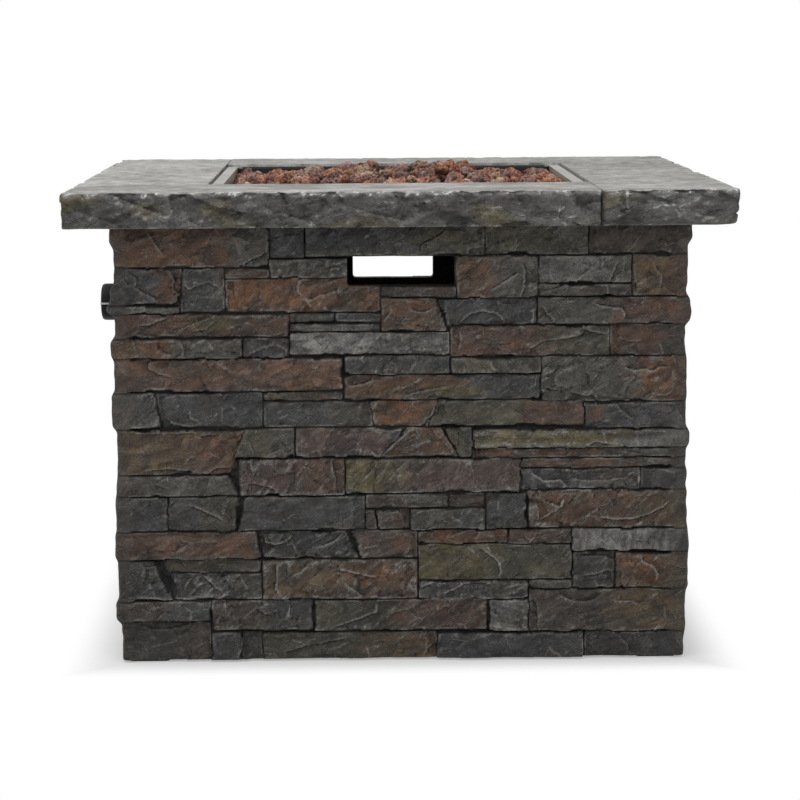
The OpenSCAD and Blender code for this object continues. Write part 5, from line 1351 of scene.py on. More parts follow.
def wall_windows(sizes):
    """Openings in the walls, as (width, lower edge, upper edge), in mm."""
    top = sizes.window_top / MM
    return {
        "front_wall": (sizes.slot_width / MM, top - sizes.slot_height / MM, top),
        "back_wall": (sizes.hose_width / MM, top - sizes.hose_height / MM, top),
        "left_wall": (sizes.hatch_width / MM, sizes.hatch_low / MM, sizes.hatch_high / MM),
    }


def wall_points(face, window, rows, profile):
    """Mesh points of a wall: a grid drawn out to the corners, with lines drawn onto joints and ledges."""
    sizes = face.sizes
    step = (sizes.front_step if face.node == "front_wall" else sizes.side_step) / MM
    ends = [-face.half, face.half]
    if window:
        ends[1:1] = [-window[0] / 2, window[0] / 2]
    x, z = np.meshgrid(grid_lines(ends, step), rows)
    shape = x.shape
    reach = face.core + profile - ROUND_CUT * sizes.corner_radius / MM
    past = np.clip(np.abs(x) - (face.half - END_ZONE), 0, None) / END_ZONE
    x = x + np.sign(x) * past * (np.where(x < 0, reach[0][:, None], reach[1][:, None]) - face.half)
    x, z = x.ravel(), z.ravel()
    # The lines next to a joint are drawn onto it, and those farther off close up to it.
    shift = face.to_line(x, z)
    away = np.hypot(*shift.T)
    kept = np.where(away < 2.1, 0.75 + 0.5 * (away - 1), away - 0.8 * (1 - ramp(2.1, 6, away)))
    shift *= np.where(away < 0.51 * step, 1, 1 - kept / np.maximum(away, 1))[:, None]
    free = (away < 6) & (np.abs(x) < face.half - 14) & (z > face.low + 2.5) & (z < face.high - 2.5)
    if window:
        free &= (np.abs(x) > window[0] / 2 + 3) | (z < window[1] - 3) | (z > window[2] + 3)
    return x + np.where(free, shift[:, 0], 0), z + np.where(free, shift[:, 1], 0), shape


def cut_window(bm, window, radius):
    """Cuts a rounded opening into a wall's grid."""
    wide, low, high = window
    gone = []
    for part in bm.faces:
        middle = part.calc_center_median()
        if abs(middle.x) < wide / 2 and low < middle.z < high:
            gone.append(part)
    bmesh.ops.delete(bm, geom=gone, context="FACES")
    for vert in bm.verts:
        if vert.is_boundary and abs(vert.co.x) < wide / 2 + 1 and low - 1 < vert.co.z < high + 1:
            vert.co.x, vert.co.z = rounded_box_point(vert.co.x, vert.co.z, wide, low, high, radius)


def close_wall(bm, face, window, layers):
    """Draws a wall's rim back to its inner face and fills that."""
    inner = face.sizes.inner_half / MM
    rim = [e for e in bm.edges if e.is_boundary]
    for e in rim:
        e.smooth = False
    made = bmesh.ops.extrude_edge_only(bm, edges=rim)["geom"]
    fresh = [g for g in made if isinstance(g, bmesh.types.BMVert)]
    for vert in fresh:
        x, z = vert.co.x, vert.co.z
        if not (window and abs(x) < window[0] / 2 + 3 and window[1] - 3 < z < window[2] + 3):
            x = x if face.low < z < face.high else x * inner / face.half
            vert.co.x = max(-inner, min(inner, x))
        vert.co.y = -inner
        vert[layers["joint"]] = 0.7
        vert[layers["wear"]] = vert[layers["edge"]] = 0
    for vert in fresh:
        vert.co.z += FILL_SLANT * vert.co.x
    rim = [e for e in bm.edges if e.is_boundary]
    bmesh.ops.triangle_fill(bm, edges=rim, use_beauty=True, normal=(0, 1, 0))
    for vert in fresh:
        vert.co.z -= FILL_SLANT * vert.co.x
    bmesh.ops.remove_doubles(bm, verts=bm.verts, dist=MERGE)
    inside = {e for vert in fresh if vert.is_valid for e in vert.link_edges}
    bmesh.ops.dissolve_degenerate(bm, edges=list(inside), dist=0.001)


def build_wall(node, material):
    """One wall: relief grid in front, cut for its window, closed to a flat back."""
    sizes = settings().walls
    face = WallFace(node, sizes, settings().tints)
    windows = wall_windows(sizes)
    window = windows.get(node)
    bends = [face.low, *sorted({edge for wall in windows.values() for edge in wall[1:]}), face.high]
    rows = grid_lines(bends, sizes.front_step / MM)
    profile = face.end_profile(rows)
    x, z, shape = wall_points(face, window, rows, profile)
    at = face.field(x, z)
    proud = np.where(x < 0, np.interp(z, rows, profile[0]), np.interp(z, rows, profile[1]))
    height = at["height"] + (proud - at["height"]) * at["fade"]
    looks = face.colours(at, height, shape)
    radius = sizes.corner_radius / MM
    from_end = np.clip(face.core + proud - np.abs(x), 0, radius)
    height = height - radius + np.sqrt(np.maximum(radius ** 2 - (radius - from_end) ** 2, 0))

    bm = bmesh.new()
    bmesh.ops.create_grid(bm, x_segments=shape[1] - 1, y_segments=shape[0] - 1, size=1)
    tint_layer = bm.verts.layers.float_color.new("tint")
    layers = {name: bm.verts.layers.float.new(name) for name in ("wear", "joint", "edge")}
    flow_layer = bm.verts.layers.float_vector.new("flow")
    for vert in bm.verts:
        i = round((vert.co.x + 1) / 2 * (shape[1] - 1))
        j = round((vert.co.y + 1) / 2 * (shape[0] - 1))
        k = j * shape[1] + i
        vert.co = (x[k], -face.core - height[k], z[k])
        vert[tint_layer] = (*looks["tint"][k], 1)
        for name, layer in layers.items():
            vert[layer] = looks[name][k]
        vert[flow_layer] = (at["u"][k] * MM, at["v"][k] * MM, 0)
    for part in bm.faces:
        part.smooth = all(vert[layers["joint"]] < 0.5 for vert in part.verts)
    sharpen(bm, 0.42)
    if window:
        cut_window(bm, window, sizes.window_radius / MM)
    close_wall(bm, face, window, layers)
    bmesh.ops.recalc_face_normals(bm, faces=bm.faces)
    bmesh.ops.rotate(bm, verts=bm.verts, matrix=Matrix.Rotation(math.radians(face.turn), 3, "Z"))
    bmesh.ops.scale(bm, verts=bm.verts, vec=(MM, MM, MM))
    return piece(bm, face.name, material, (node,))


class FIREPIT_OT_stone_walls(bpy.types.Operator):
    """Builds the four stacked-stone walls over their CAD nodes"""
    bl_idname = "firepit.stone_walls"
    bl_label = "Stone walls"

    def execute(self, context):
        material = stone_material()
        for node in WALLS:
            build_wall(node, material)
        return {"FINISHED"}


# Table top


def cut_along(bm, axis, cuts):
    """Cuts every edge along one axis into equal parts."""
    edges = [e for e in bm.edges if abs((e.verts[0].co - e.verts[1].co)[axis]) > 1e-6]
    bmesh.ops.subdivide_edges(bm, edges=edges, cuts=cuts, use_grid_fill=True)


def plank_box(low, high, step):
    """Box of a plank cut into a mesh that is finer at its outer side, with single faces on hidden sides."""
    bm = bmesh.new()
    bmesh.ops.create_cube(bm, size=1)
    for vert in bm.verts:
        vert.co = [high[k] if vert.co[k] > 0 else low[k] for k in range(3)]
    for axis, share in enumerate((1.2, 0.7, 1.5)):
        cut_along(bm, axis, round((high[axis] - low[axis]) * share / step) - 1)
    wide = high[1] - low[1]
    for vert in bm.verts:
        vert.co.y = low[1] + wide * max(0.0, (vert.co.y - low[1]) / wide) ** 1.3
    hidden = ([], [], [])
    for part in bm.faces:
        middle = part.calc_center_median()
        sides = (middle.z < low[2] + 0.01, middle.y > high[1] - 0.01, middle.x > high[0] - 0.01)
        if any(sides):
            hidden[sides.index(True)].append(part)
    for faces in hidden:
        bmesh.ops.dissolve_faces(bm, faces=faces, use_verts=False)
    return bm


def rounded_corner(dx, dy, corner):
    """Places behind a plank's outer sides pulled into a rounded corner, their depth, and the way outward."""
    cx, cy = np.maximum(0, corner - dx), np.maximum(0, corner - dy)
    size = np.hypot(cx, cy)
    pull = np.where(size > corner, corner / np.maximum(size, 1e-6), 1)
    dx, dy = np.where(cx > 0, corner - cx * pull, dx), np.where(cy > 0, corner - cy * pull, dy)
    bent = (cx > 0) & (cy > 0)
    depth = np.where(bent, corner - np.minimum(size, corner), np.minimum(dx, dy))
    way_x = np.where(bent, -cx, np.where(dx < dy, -1.0, 0.0))
    way_y = np.where(bent, -cy, np.where(dx < dy, 0.0, -1.0))
    way = np.hypot(way_x, way_y)
    return dx, dy, depth, way_x / way, way_y / way


def broken_arrises(along, depth, up, down, seed):
    """How far the chipped upper arris and the lower one draw each point in, and up or down."""
    line = np.full(along.shape, seed + 0.5)
    chips = 1.2 + 6.5 * ramp(0.08, 0.55, noise(along / 21, line, seed=seed))
    chips += 3.0 * ramp(-0.1, 0.6, noise(along / 7, line, seed=seed + 1))
    bottom = 1.0 + 0.8 * ramp(0.0, 0.6, noise(along / 30, line, seed=seed + 2))
    push, drop = np.zeros(along.shape), np.zeros(along.shape)
    for gap, radius, sign in ((up, chips, -1), (down, bottom, 1)):
        a, b = np.maximum(0, radius - depth), np.maximum(0, radius - gap)
        far = np.hypot(a, b)
        share = np.where(far > radius, 1 - radius / np.maximum(far, 1e-6), 0)
        push -= a * share
        drop += sign * b * share
    return push, drop


def split_side(along, z, seed):
    """Broken facets, fine roughness and cracks of a plank's split side."""
    wander = 0.35 * noise(along / 40, z / 20, seed=seed + 3)
    number, to_x, to_z, border = cells(along / 62 + wander, (z + 0.30 * along) / 25, seed=seed + 4)
    facet = 6.5 * leaning(number, to_x, to_z) + 3.4 * (number - 0.5)
    number, to_x, to_z, _ = cells(along / 24 + wander, (z - 0.25 * along) / 11, seed=seed + 5)
    facet += 3.6 * leaning(number, to_x, to_z) + 1.8 * (number - 0.5)
    rough = 1.1 * fractal(along / 14, z / 7, seed=seed + 7)
    rough = rough + 0.4 * fractal(along / 4, z / 4, seed=seed + 8, octaves=2)
    crack = (1 - ramp(0, 0.035, border)) * ramp(-0.1, 0.4, noise(along / 60, z / 40, seed=seed + 6))
    return facet, rough, crack


def plank(place, sizes):
    """One plank of the top as a bmesh: split outer side and end, chipped arris, streaked face. In mm."""
    seed, turn = 400 + 50 * place, math.radians(90 * place)
    half, well = sizes.half / MM, sizes.well_half / MM
    low, high = sizes.low / MM, sizes.high / MM
    x0, x1, y0, y1 = -half, well - sizes.seam / MM, -half, -well
    bm = plank_box((x0, y0, low), (x1, y1, high), sizes.step / MM)
    x, y, z = np.array([v.co for v in bm.verts]).T
    inside = ((y > y1 - 0.01) | (x > x1 - 0.01)) & (z < high - 1)
    dx, dy, up, down = x - x0, y - y0, high - z, z - low
    along = dx - dy
    outer = ((dx < 0.01) | (dy < 0.01)).astype(float)
    corner, lean = CORNERS[place]
    dx, dy, depth, way_x, way_y = rounded_corner(dx, dy, corner)
    push, drop = broken_arrises(along, depth, up, down, seed)
    facet, rough, crack = split_side(along, z, seed)
    t = (z - low) / (high - low)
    tip = 1 - ramp(4, 26, np.abs(along))
    bulge = np.interp(t, [0, 0.15, 0.55, 0.9, 1], [1.6, 2.6, 3.4, 3.0, 1.6])
    bulge = bulge + tip * (1.8 - lean * (1 - ramp(0.0, 0.45, t)))
    rim = ramp(0.0, 2.5, np.minimum(up, down) + 0.5)
    push += outer * (bulge + rim * (1 - 0.6 * tip) * (np.minimum(facet + rough, 2.4) - 1.8 * crack - 0.6))
    on_top = (up < 0.01) & (depth > 0.5)
    world_x, world_y = x * math.cos(turn) - y * math.sin(turn), x * math.sin(turn) + y * math.cos(turn)
    streak = fractal(world_x / 80, world_y / 8, seed=seed + 9)
    drop += np.where(on_top, 0.35 * streak + 0.3 * fractal(x / 30, y / 30, seed=seed + 10) - 0.4, 0)
    x, y, z = x0 + dx + way_x * push, y0 + dy + way_y * push, z + drop

    arris = (1 - ramp(3.0, 9.0, up)) * outer + (1 - ramp(0.5, 3, depth)) * on_top
    wear = np.clip(1.2 * arris * ramp(-0.30, 0.30, noise(along / 13, z / 7, seed=seed + 11)), 0, 1)
    wear = np.maximum(wear, outer * 0.30 * ramp(0.4, 1.6, rough + 0.3 * facet))
    wear = np.maximum(wear, outer * 0.4 * (1 - ramp(0.5, 2.5, down)))
    # Painted shade: cracks and sunken parts of the split side, and the well's inner faces, are darkened.
    hollow = np.clip(outer * (0.6 * crack + 0.55 * ramp(0.5, 2.8, -rough - 0.6 * facet)), 0, 1)
    values = {
        "side": np.clip(outer * ramp(0.2, 2.0, up), 0, 1),
        "wear": wear,
        "stain": outer * (0.15 + 0.85 * ramp(0.05, 0.6, noise(along / 80, z / 40, seed=seed + 12))),
        "hollow": np.maximum(hollow, 0.85 * inside),
        "plank_shade": PLANK_SHADE[place] * ramp(-0.7, 0.5, noise(world_x / 90, world_y / 50, seed=13)),
    }
    flow_u = along * math.cos(SLAB_GRAIN) + z * math.sin(SLAB_GRAIN) + 97 * place
    flow_v = z * math.cos(SLAB_GRAIN) - along * math.sin(SLAB_GRAIN)
    layers = {name: bm.verts.layers.float.new(name) for name in values}
    flow_layer = bm.verts.layers.float_vector.new("flow")
    for k, vert in enumerate(bm.verts):
        vert.co = (x[k], y[k], z[k])
        vert[flow_layer] = (flow_u[k] * MM, flow_v[k] * MM, 0)
        for name, layer in layers.items():
            vert[layer] = values[name][k]
    for part in bm.faces:
        part.smooth = len(part.verts) == 4
    sharpen(bm, 0.5)
    bmesh.ops.remove_doubles(bm, verts=bm.verts, dist=MERGE)
    wide = [part for part in bm.faces if len(part.verts) > 4]
    bmesh.ops.triangulate(bm, faces=wide, ngon_method="BEAUTY")
    bmesh.ops.rotate(bm, verts=bm.verts, matrix=Matrix.Rotation(turn, 3, "Z"))
    return bm


def ledge_frame(bm, sizes):
    """Square ledge under the pan's flange, and the bed below the seams, added to the top's bmesh and painted
    near black as shade. In mm.
    """
    well, shaft = sizes.well_half / MM, sizes.shaft_half / MM
    low, ledge = sizes.low / MM, sizes.ledge / MM
    before = set(bm.verts)
    made = bmesh.ops.create_grid(bm, x_segments=1, y_segments=1, size=well)["verts"]
    face = made[0].link_faces[0]
    inset = bmesh.ops.inset_region(bm, faces=[face], thickness=well - shaft, use_even_offset=True)["faces"]
    bmesh.ops.delete(bm, geom=[face], context="FACES_ONLY")
    ring = bmesh.ops.extrude_face_region(bm, geom=inset)["geom"]
    lifted = [g for g in ring if isinstance(g, bmesh.types.BMVert)]
    bmesh.ops.translate(bm, verts=lifted, vec=(0, 0, ledge - low))
    ring_verts = {*lifted, *(v for f in inset if f.is_valid for v in f.verts)}
    bmesh.ops.translate(bm, verts=list(ring_verts), vec=(0, 0, low))
    seam = sizes.seam / MM
    bed = ((well - seam - 1, well + 1), (-sizes.half / MM + 1, -well), (low + 0.5, low + 24))
    for turn in range(4):
        block = bmesh.ops.create_cube(bm, size=1)["verts"]
        for vert in block:
            vert.co = [ends[side > 0] for ends, side in zip(bed, vert.co)]
        bmesh.ops.rotate(bm, verts=block, matrix=Matrix.Rotation(turn * math.pi / 2, 3, "Z"))
    # Painted shade: the ledge and the bed are painted near black.
    for vert in set(bm.verts) - before:
        for name in ("side", "hollow"):
            vert[bm.verts.layers.float[name]] = 0.95


class FIREPIT_OT_table_top(bpy.types.Operator):
    """Builds the cast top from four planks round the burner well"""
    bl_idname = "firepit.table_top"
    bl_label = "Table top"

    def execute(self, context):
        sizes = settings().top
        whole = bmesh.new()
        for k in range(4):
            part = plank(k, sizes)
            carrier = bpy.data.meshes.new("plank")
            part.to_mesh(carrier)
            part.free()
            whole.from_mesh(carrier)
            bpy.data.meshes.remove(carrier)
        ledge_frame(whole, sizes)
        bmesh.ops.recalc_face_normals(whole, faces=whole.faces)
        bmesh.ops.scale(whole, verts=whole.verts, vec=(MM, MM, MM))
        piece(whole, "cast_top_slab", top_material(), ("table_top",))
        return {"FINISHED"}


# Lava rock


def rock_shape(ways, draw):
    """Distance of a rock's surface from its middle in these directions, about 1."""
    shift = draw.uniform(0, 500, 3)
    far = 1 + 0.22 * noise(*(1.2 * ways + shift).T, seed=1) + 0.16 * noise(*(2.6 * ways + shift).T, seed=2)
    for _ in range(9):
        flat = draw.normal(size=3)
        flat /= np.linalg.norm(flat)
        toward = ways @ flat
        far = np.minimum(far, np.where(toward > 0.2, draw.uniform(0.72, 0.98) / np.maximum(toward, 0.2), 9))
    pits = ramp(0.15, 0.6, noise(*(4.4 * ways + shift).T, seed=5))
    crumbs = 0.16 * noise(*(5.0 * ways + shift).T, seed=3) + 0.15 * noise(*(10.0 * ways + shift).T, seed=4)
    return far + crumbs - 0.20 * pits, pits


class RockPile:
    """Rocks of one piece, with the random draws that they share. In mm."""

    def __init__(self, name, draw, rock):
        self.name, self.draw, self.limit = name, draw, rock.pan_half / MM
        self.colours = [np.array(c) for c in (rock.red, rock.orange, rock.purple, rock.brown)]
        self.bm = bmesh.new()
        self.tint = self.bm.verts.layers.float_color.new("tint")
        self.hollow = self.bm.verts.layers.float.new("hollow")

    def colour(self, dark, light, shares=ROCK_SHARES):
        """One of the colours, times a random brightness between these."""
        return self.colours[self.draw.choice(4, p=shares)] * self.draw.uniform(dark, light)

    def add(self, middle, half, detail, colour):
        """One rock of these half sizes, kept inside the pan."""
        made = bmesh.ops.create_icosphere(self.bm, subdivisions=detail, radius=1)["verts"]
        ways = np.array([v.co for v in made])
        far, pits = rock_shape(ways, self.draw)
        spin = np.array(Matrix.Rotation(self.draw.uniform(0, TURN), 3, self.draw.normal(size=3)))
        body = (ways * far[:, None]) @ spin.T
        low, high = body.min(axis=0), body.max(axis=0)
        body = (body - (low + high) / 2) / ((high - low) / 2) * half + middle
        body[:, :2] = np.clip(body[:, :2], -self.limit, self.limit)
        rise = (body[:, 2] - middle[2]) / half[2]
        # Painted shade in the pits and on the underside; painted light toward the top of each rock.
        hollow = np.clip(0.55 * pits + 0.6 * (1 - ramp(-0.6, 0.35, rise)), 0, 0.9)
        top_light = 0.78 + 0.62 * ramp(0.1, 1.0, rise)
        for vert, place, dark, light in zip(made, body, hollow, top_light):
            vert.co = place
            vert[self.tint] = (*(colour * light), 1)
            vert[self.hollow] = dark

    def finish(self, material):
        """Turns the rocks into their piece."""
        for part in self.bm.faces:
            part.smooth = True
        bmesh.ops.scale(self.bm, verts=self.bm.verts, vec=(MM, MM, MM))
        piece(self.bm, self.name, material, ("lava_rocks",))


def broken_up(middle, half, draw):
    """The rock itself, or two or three smaller ones in its place."""
    count = draw.choice((1, 1, 2, 3))
    if count == 1:
        spot = middle + np.array([*draw.uniform(-4, 4, 2), 0])
        return [(spot, half * np.array([*draw.uniform(0.9, 1.15, 2), 1.0]))]
    turn = draw.uniform(0, TURN)
    parts = []
    for k in range(count):
        away = turn + TURN * k / count
        size = half * draw.uniform(0.55, 0.75, 3)
        spot = middle + np.array([math.cos(away), math.sin(away), 0]) * half * 0.45
        spot[2] = middle[2] + half[2] - size[2] * draw.uniform(1.0, 1.3)
        parts.append((spot, size))
    return parts


def rock_boxes():
    """Boxes of the CAD rocks, as rows of (low, high), in mm."""
    triangles = cad_triangles("lava_rocks")
    label = islands(triangles)
    for number in np.unique(label):
        points = triangles[label == number].reshape(-1, 3)
        yield points.min(axis=0), points.max(axis=0)


def add_upper(heap, bed, boxes):
    """Rocks over the CAD rocks: the lowest as they are, the upper ones also broken up. Gives the upper ones."""
    floor_top = np.median([low[2] for low, _ in boxes]) - 2
    upper = []
    for low, high in boxes:
        middle, half = (low + high) / 2, (high - low) / 2
        plain = bed.colour(0.75, 1.2)
        if low[2] <= floor_top:
            bed.add(middle, half, 2, plain)
            continue
        upper.append((middle, half))
        parts = broken_up(middle, half, heap.draw)
        for spot, size in parts:
            heap.add(spot, size, 4 if len(parts) == 1 else 3, heap.colour(0.66, 1.28))
    return upper


def add_pebbles(bed, upper, count):
    """Small rocks that lie on the upper ones."""
    draw = bed.draw
    for _ in range(count):
        middle, half = upper[draw.integers(len(upper))]
        size = draw.uniform(7, 13)
        aside = draw.uniform(-1, 1, 2) * half[:2]
        spot = middle + np.array([*aside, half[2] - size * draw.uniform(0.3, 0.9)])
        spot[:2] = np.clip(spot[:2], size - bed.limit, bed.limit - size)
        colour = bed.colour(0.75, 1.2, None)
        bed.add(spot, size * draw.uniform(0.8, 1.2, 3), 2, colour)


def add_fill(bed, upper, step):
    """Rocks below the gaps that the upper ones leave."""
    draw, reach = bed.draw, bed.limit - 12
    level = np.median([middle[2] for middle, _ in upper])
    lines = np.arange(-reach, reach + 1, step)
    for x in lines:
        for y in lines:
            spot = np.array([x, y, 0]) + draw.uniform(-0.3, 0.3, 3) * step
            half = draw.uniform(0.55, 0.8, 3) * step
            cover = [np.abs((spot - middle)[:2] / size[:2]).max() for middle, size in upper]
            if min(cover) > 0.62:
                spot[2] = level - half[2] - draw.uniform(0, 7)
                bed.add(spot, half, 3, bed.colour(0.6, 1.0))


class FIREPIT_OT_lava_rock(bpy.types.Operator):
    """Builds the heap of lava rock over the CAD rocks, with pebbles between and fill below"""
    bl_idname = "firepit.lava_rock"
    bl_label = "Lava rock"

    def execute(self, context):
        rock = settings().rock
        draw = np.random.default_rng(77)
        heap, bed = RockPile("lava_heap", draw, rock), RockPile("lava_small", draw, rock)
        boxes = sorted(rock_boxes(), key=lambda box: (box[0][2], box[0][0], box[0][1]))
        upper = add_upper(heap, bed, boxes)
        add_pebbles(bed, upper, rock.pebbles)
        add_fill(bed, upper, rock.fill_step / MM)
        material = lava_material()
        for pile in (heap, bed):
            pile.finish(material)
        return {"FINISHED"}


# Knob and metalwork


class FIREPIT_OT_gas_knob(bpy.types.Operator):
    """Builds the gas knob with a crowned face, rounded rim and hollow back"""
    bl_idname = "firepit.gas_knob"
    bl_label = "Gas knob"

    def execute(self, context):
        low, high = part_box("control_knob")
        axis_z = (low.z + high.z) / 2
        radius, length_x = (high.z - low.z) / 2, high.x - low.x
        skin, boss, deep = 3 * MM, 8 * MM, length_x - 7 * MM
        bore = 4.2 * MM
        profile = [(0, 0), (0.45 * radius, 0.0004), (0.78 * radius, 0.0011), (0.93 * radius, 0.0024),
                   (0.985 * radius, 0.0044), (radius, 0.0075), (radius, length_x - 0.001),
                   (radius - 0.001, length_x), (radius - skin, length_x), (radius - skin, 2 * skin),
                   (boss, 2 * skin), (boss, deep), (bore, deep), (bore, 3.4 * skin), (0, 3.4 * skin)]
        bm = bmesh.new()
        verts = [bm.verts.new((low.x + a, 0, axis_z + r)) for r, a in profile]
        edges = [bm.edges.new(pair) for pair in zip(verts, verts[1:])]
        bmesh.ops.spin(bm, geom=verts + edges, cent=(0, 0, axis_z), axis=(1, 0, 0), angle=2 * math.pi,
                       steps=96, use_merge=True)
        bmesh.ops.remove_doubles(bm, verts=bm.verts, dist=1e-6)
        bmesh.ops.recalc_face_normals(bm, faces=bm.faces)
        for part in bm.faces:
            part.smooth = True
        sharpen(bm, 0.6)
        metal = settings().metal
        black = solid_material("knob_black", metal.black, 0.0, 0.5, speck=0.0006, amount=0.2, depth=0.00006,
                               shine=0.2)
        piece(bm, "gas_knob", black, ("control_knob",), "knob")
        for node in ("igniter_housing", "igniter_nut"):
            dress(node, black)
        return {"FINISHED"}


def dress(node, material):
    """Gives a CAD node that stays its finish."""
    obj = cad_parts[node]
    if not obj.material_slots:
        obj.data.materials.append(material)
    for place in obj.material_slots:
        place.material = material


class FIREPIT_OT_metalwork(bpy.types.Operator):
    """Gives the CAD metal, rubber, ceramic and plastic their finishes"""
    bl_idname = "firepit.metalwork"
    bl_label = "Metalwork"

    def execute(self, context):
        metal = settings().metal
        finishes = {
            brushed_material("stainless_sheet", metal.stainless, 0.46):
                "burner_pan burner_ring air_mixer sensor_bracket spark_electrode valve_stem",
            solid_material("zinc_plate", metal.zinc, 0.9, 0.38, amount=0.16):
                "corner_angles corner_screws top_cleats cleat_screws panel_screws valve_nut bracket_screws "
                "stem_spring button_spring",
            solid_material("cast_metal", metal.cast, 0.8, 0.55, speck=0.0015, amount=0.2, depth=0.0003):
                "burner_elbow valve_body",
            solid_material("drawn_pipe", metal.pipe, 0.95, 0.30): "feed_pipe",
            solid_material("brass", metal.brass, 1.0, 0.30):
                "burner_nut gas_jet pipe_nuts inlet_fitting spring_cap",
            solid_material("copper", metal.copper, 1.0, 0.34, amount=0.2): "flame_sensor",
            solid_material("panel_coat", metal.coat, 0.0, 0.55, speck=0.0012, amount=0.25, depth=0.0002):
                "control_panel",
            solid_material("knob_mark", metal.mark, 0.0, 0.45, amount=0.06): "knob_pointer",
            solid_material("button_red", metal.red, 0.0, 0.28, coat=0.3): "igniter_button",
            solid_material("cell_can", metal.cell, 0.2, 0.3): "igniter_battery",
            solid_material("ceramic", metal.ceramic, 0.0, 0.22, amount=0.05, coat=0.5): "electrode_insulator",
            solid_material("gasket_fibre", metal.fibre, 0.0, 0.85, speck=0.0015, amount=0.35):
                "burner_gasket",
            solid_material("foot_rubber", metal.rubber, 0.0, 0.8, amount=0.25): "foot_pads",
        }
        for material, nodes in finishes.items():
            for node in nodes.split():
                dress(node, material)
        return {"FINISHED"}


# Stage


def camera_axes(stage):
    """Right, up and forward of the camera."""
    right = Vector((math.cos(stage.yaw), math.sin(stage.yaw), 0))
    ahead = Vector((-math.sin(stage.yaw), math.cos(stage.yaw), 0))
    up = Vector((0, 0, 1))
    forward = ahead * math.cos(stage.pitch) + up * math.sin(stage.pitch)
    lifted = up * math.cos(stage.pitch) - ahead * math.sin(stage.pitch)
    across = right * math.cos(stage.roll) + lifted * math.sin(stage.roll)
    return across, lifted * math.cos(stage.roll) - right * math.sin(stage.roll), forward


def add_softbox(name, place, target, wide, tall, power):
    """Area light aimed at a point."""
    light = bpy.data.lights.new(name, "AREA")
    light.shape, light.size, light.size_y, light.energy = "RECTANGLE", wide, tall, power
    obj = bpy.data.objects.new(name, light)
    obj.location = place
    obj.rotation_euler = (Vector(target) - Vector(place)).to_track_quat("-Z", "Y").to_euler()
    bpy.context.scene.collection.objects.link(obj)


def seen_ray(tree):
    """1 for rays that show the background: camera, glossy and transmission."""
    path = tree.wires("ShaderNodeLightPath")
    return tree.most(path["Is Camera Ray"], tree.most(path["Is Glossy Ray"], path["Is Transmission Ray"]))


def floor_material(stage):
    """Pale floor that keeps the shadow round the fire pit and is white farther out."""
    made, tree, shader = new_material("studio_floor")
    where = tree.spot()
    cloud = tree.ramp(tree.noise(where, 1.5, 2.0), 0.3, 0.7, 0.97, 1.0)
    tree.feed(shader, {"Base Color": tree.shaded(stage.floor, cloud), "Roughness": 0.9})
    glow = tree.wire("ShaderNodeEmission", 0, {"Color": WHITE, "Strength": 1.0})
    place = tree.wires("ShaderNodeSeparateXYZ", {"Vector": where})
    away = tree.most(tree.math("ABSOLUTE", place["X"]), tree.math("ABSOLUTE", place["Y"]))
    white = seen_ray(tree) * tree.ramp(away, stage.shadow_from, stage.shadow_to, 0.35, 1.0)
    blend = tree.wire("ShaderNodeMixShader", 0, {0: white, 1: Wire(tree, shader.outputs[0]), 2: glow})
    tree.feed(made.node_tree.nodes["Material Output"], {"Surface": blend})
    return made


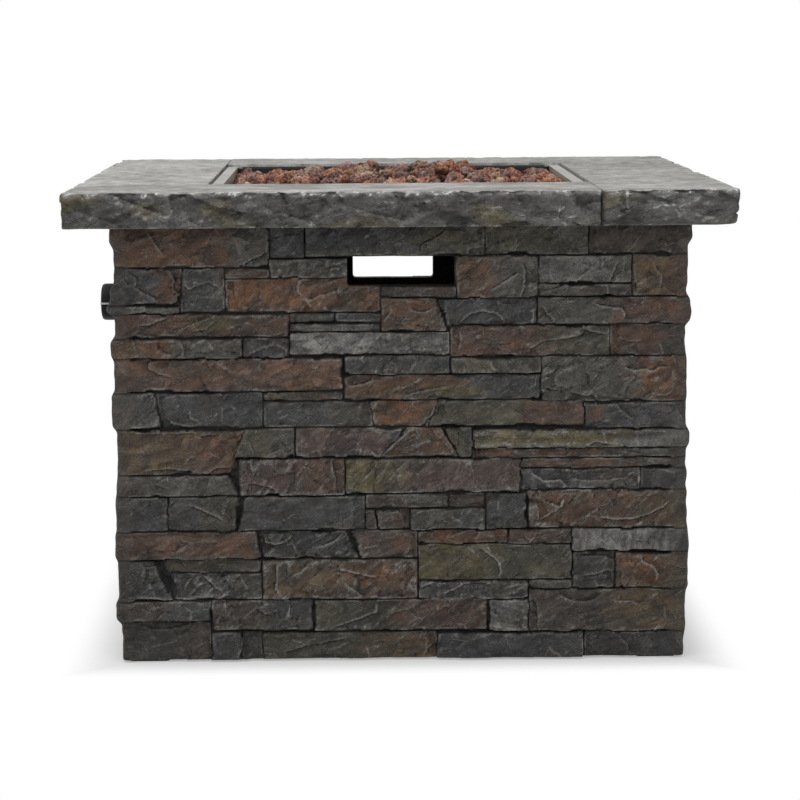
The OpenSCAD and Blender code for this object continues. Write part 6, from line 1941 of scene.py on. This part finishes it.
class FIREPIT_OT_stage(bpy.types.Operator):
    """Sets the camera, the soft light, the pale floor and the white background"""
    bl_idname = "firepit.stage"
    bl_label = "Stage"

    def execute(self, context):
        stage, scene = settings().stage, context.scene
        scene.view_settings.view_transform = "Standard"
        lens = bpy.data.cameras.new("photo_camera")
        lens.lens, lens.sensor_width, lens.sensor_fit = stage.lens, 36, "HORIZONTAL"
        lens.clip_end = 100
        camera = bpy.data.objects.new("photo_camera", lens)
        across, up, forward = camera_axes(stage)
        camera.matrix_world = Matrix((across, up, -forward)).transposed().to_4x4()
        camera.location = stage.place
        scene.collection.objects.link(camera)
        scene.camera = camera

        bm = bmesh.new()
        bmesh.ops.create_grid(bm, x_segments=1, y_segments=1, size=9)
        mesh = bpy.data.meshes.new("studio_floor")
        bm.to_mesh(mesh)
        bm.free()
        floor = bpy.data.objects.new("studio_floor", mesh)
        scene.collection.objects.link(floor)
        floor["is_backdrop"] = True
        mesh.materials.append(floor_material(stage))

        world = scene.world or bpy.data.worlds.new("studio")
        scene.world = world
        world.use_nodes = True
        tree = Tree(world.node_tree)
        level = stage.sky + seen_ray(tree) * (1 - stage.sky)
        tree.feed(world.node_tree.nodes["Background"], {"Color": WHITE, "Strength": level})
        add_softbox("softbox_above", *SOFTBOX_ABOVE, stage.key)
        add_softbox("softbox_front", *SOFTBOX_FRONT, stage.fill)
        return {"FINISHED"}


class FIREPIT_PT_panel(bpy.types.Panel):
    """Lists the fire pit's pieces"""
    bl_idname = "FIREPIT_PT_panel"
    bl_label = "Fire pit"
    bl_space_type = "VIEW_3D"
    bl_region_type = "UI"
    bl_category = "Fire pit"

    def draw(self, context):
        for step in STEPS:
            self.layout.operator(step.bl_idname)


STEPS = (FIREPIT_OT_stage, FIREPIT_OT_stone_walls, FIREPIT_OT_table_top, FIREPIT_OT_lava_rock,
         FIREPIT_OT_gas_knob, FIREPIT_OT_metalwork)
CLASSES = (FirePitTints, FirePitWalls, FirePitTop, FirePitRock, FirePitMetal, FirePitStage, FirePitSettings,
           *STEPS, FIREPIT_PT_panel)


def register():
    """Registers the classes and hangs the settings on the scene."""
    for made in CLASSES:
        bpy.utils.register_class(made)
    bpy.types.Scene.fire_pit = bpy.props.PointerProperty(type=FirePitSettings)


def unregister():
    """Removes the settings and the classes."""
    del bpy.types.Scene.fire_pit
    for made in reversed(CLASSES):
        bpy.utils.unregister_class(made)


def main():
    """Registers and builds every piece."""
    register()
    bpy.ops.firepit.stage()
    bpy.ops.firepit.stone_walls()
    bpy.ops.firepit.table_top()
    bpy.ops.firepit.lava_rock()
    bpy.ops.firepit.gas_knob()
    bpy.ops.firepit.metalwork()
    boxes = {"cad": CAD_BOX, "visual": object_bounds()}
    {name: [list(corner) for corner in box] for name, box in boxes.items()}


if __name__ == "__main__":
    main()
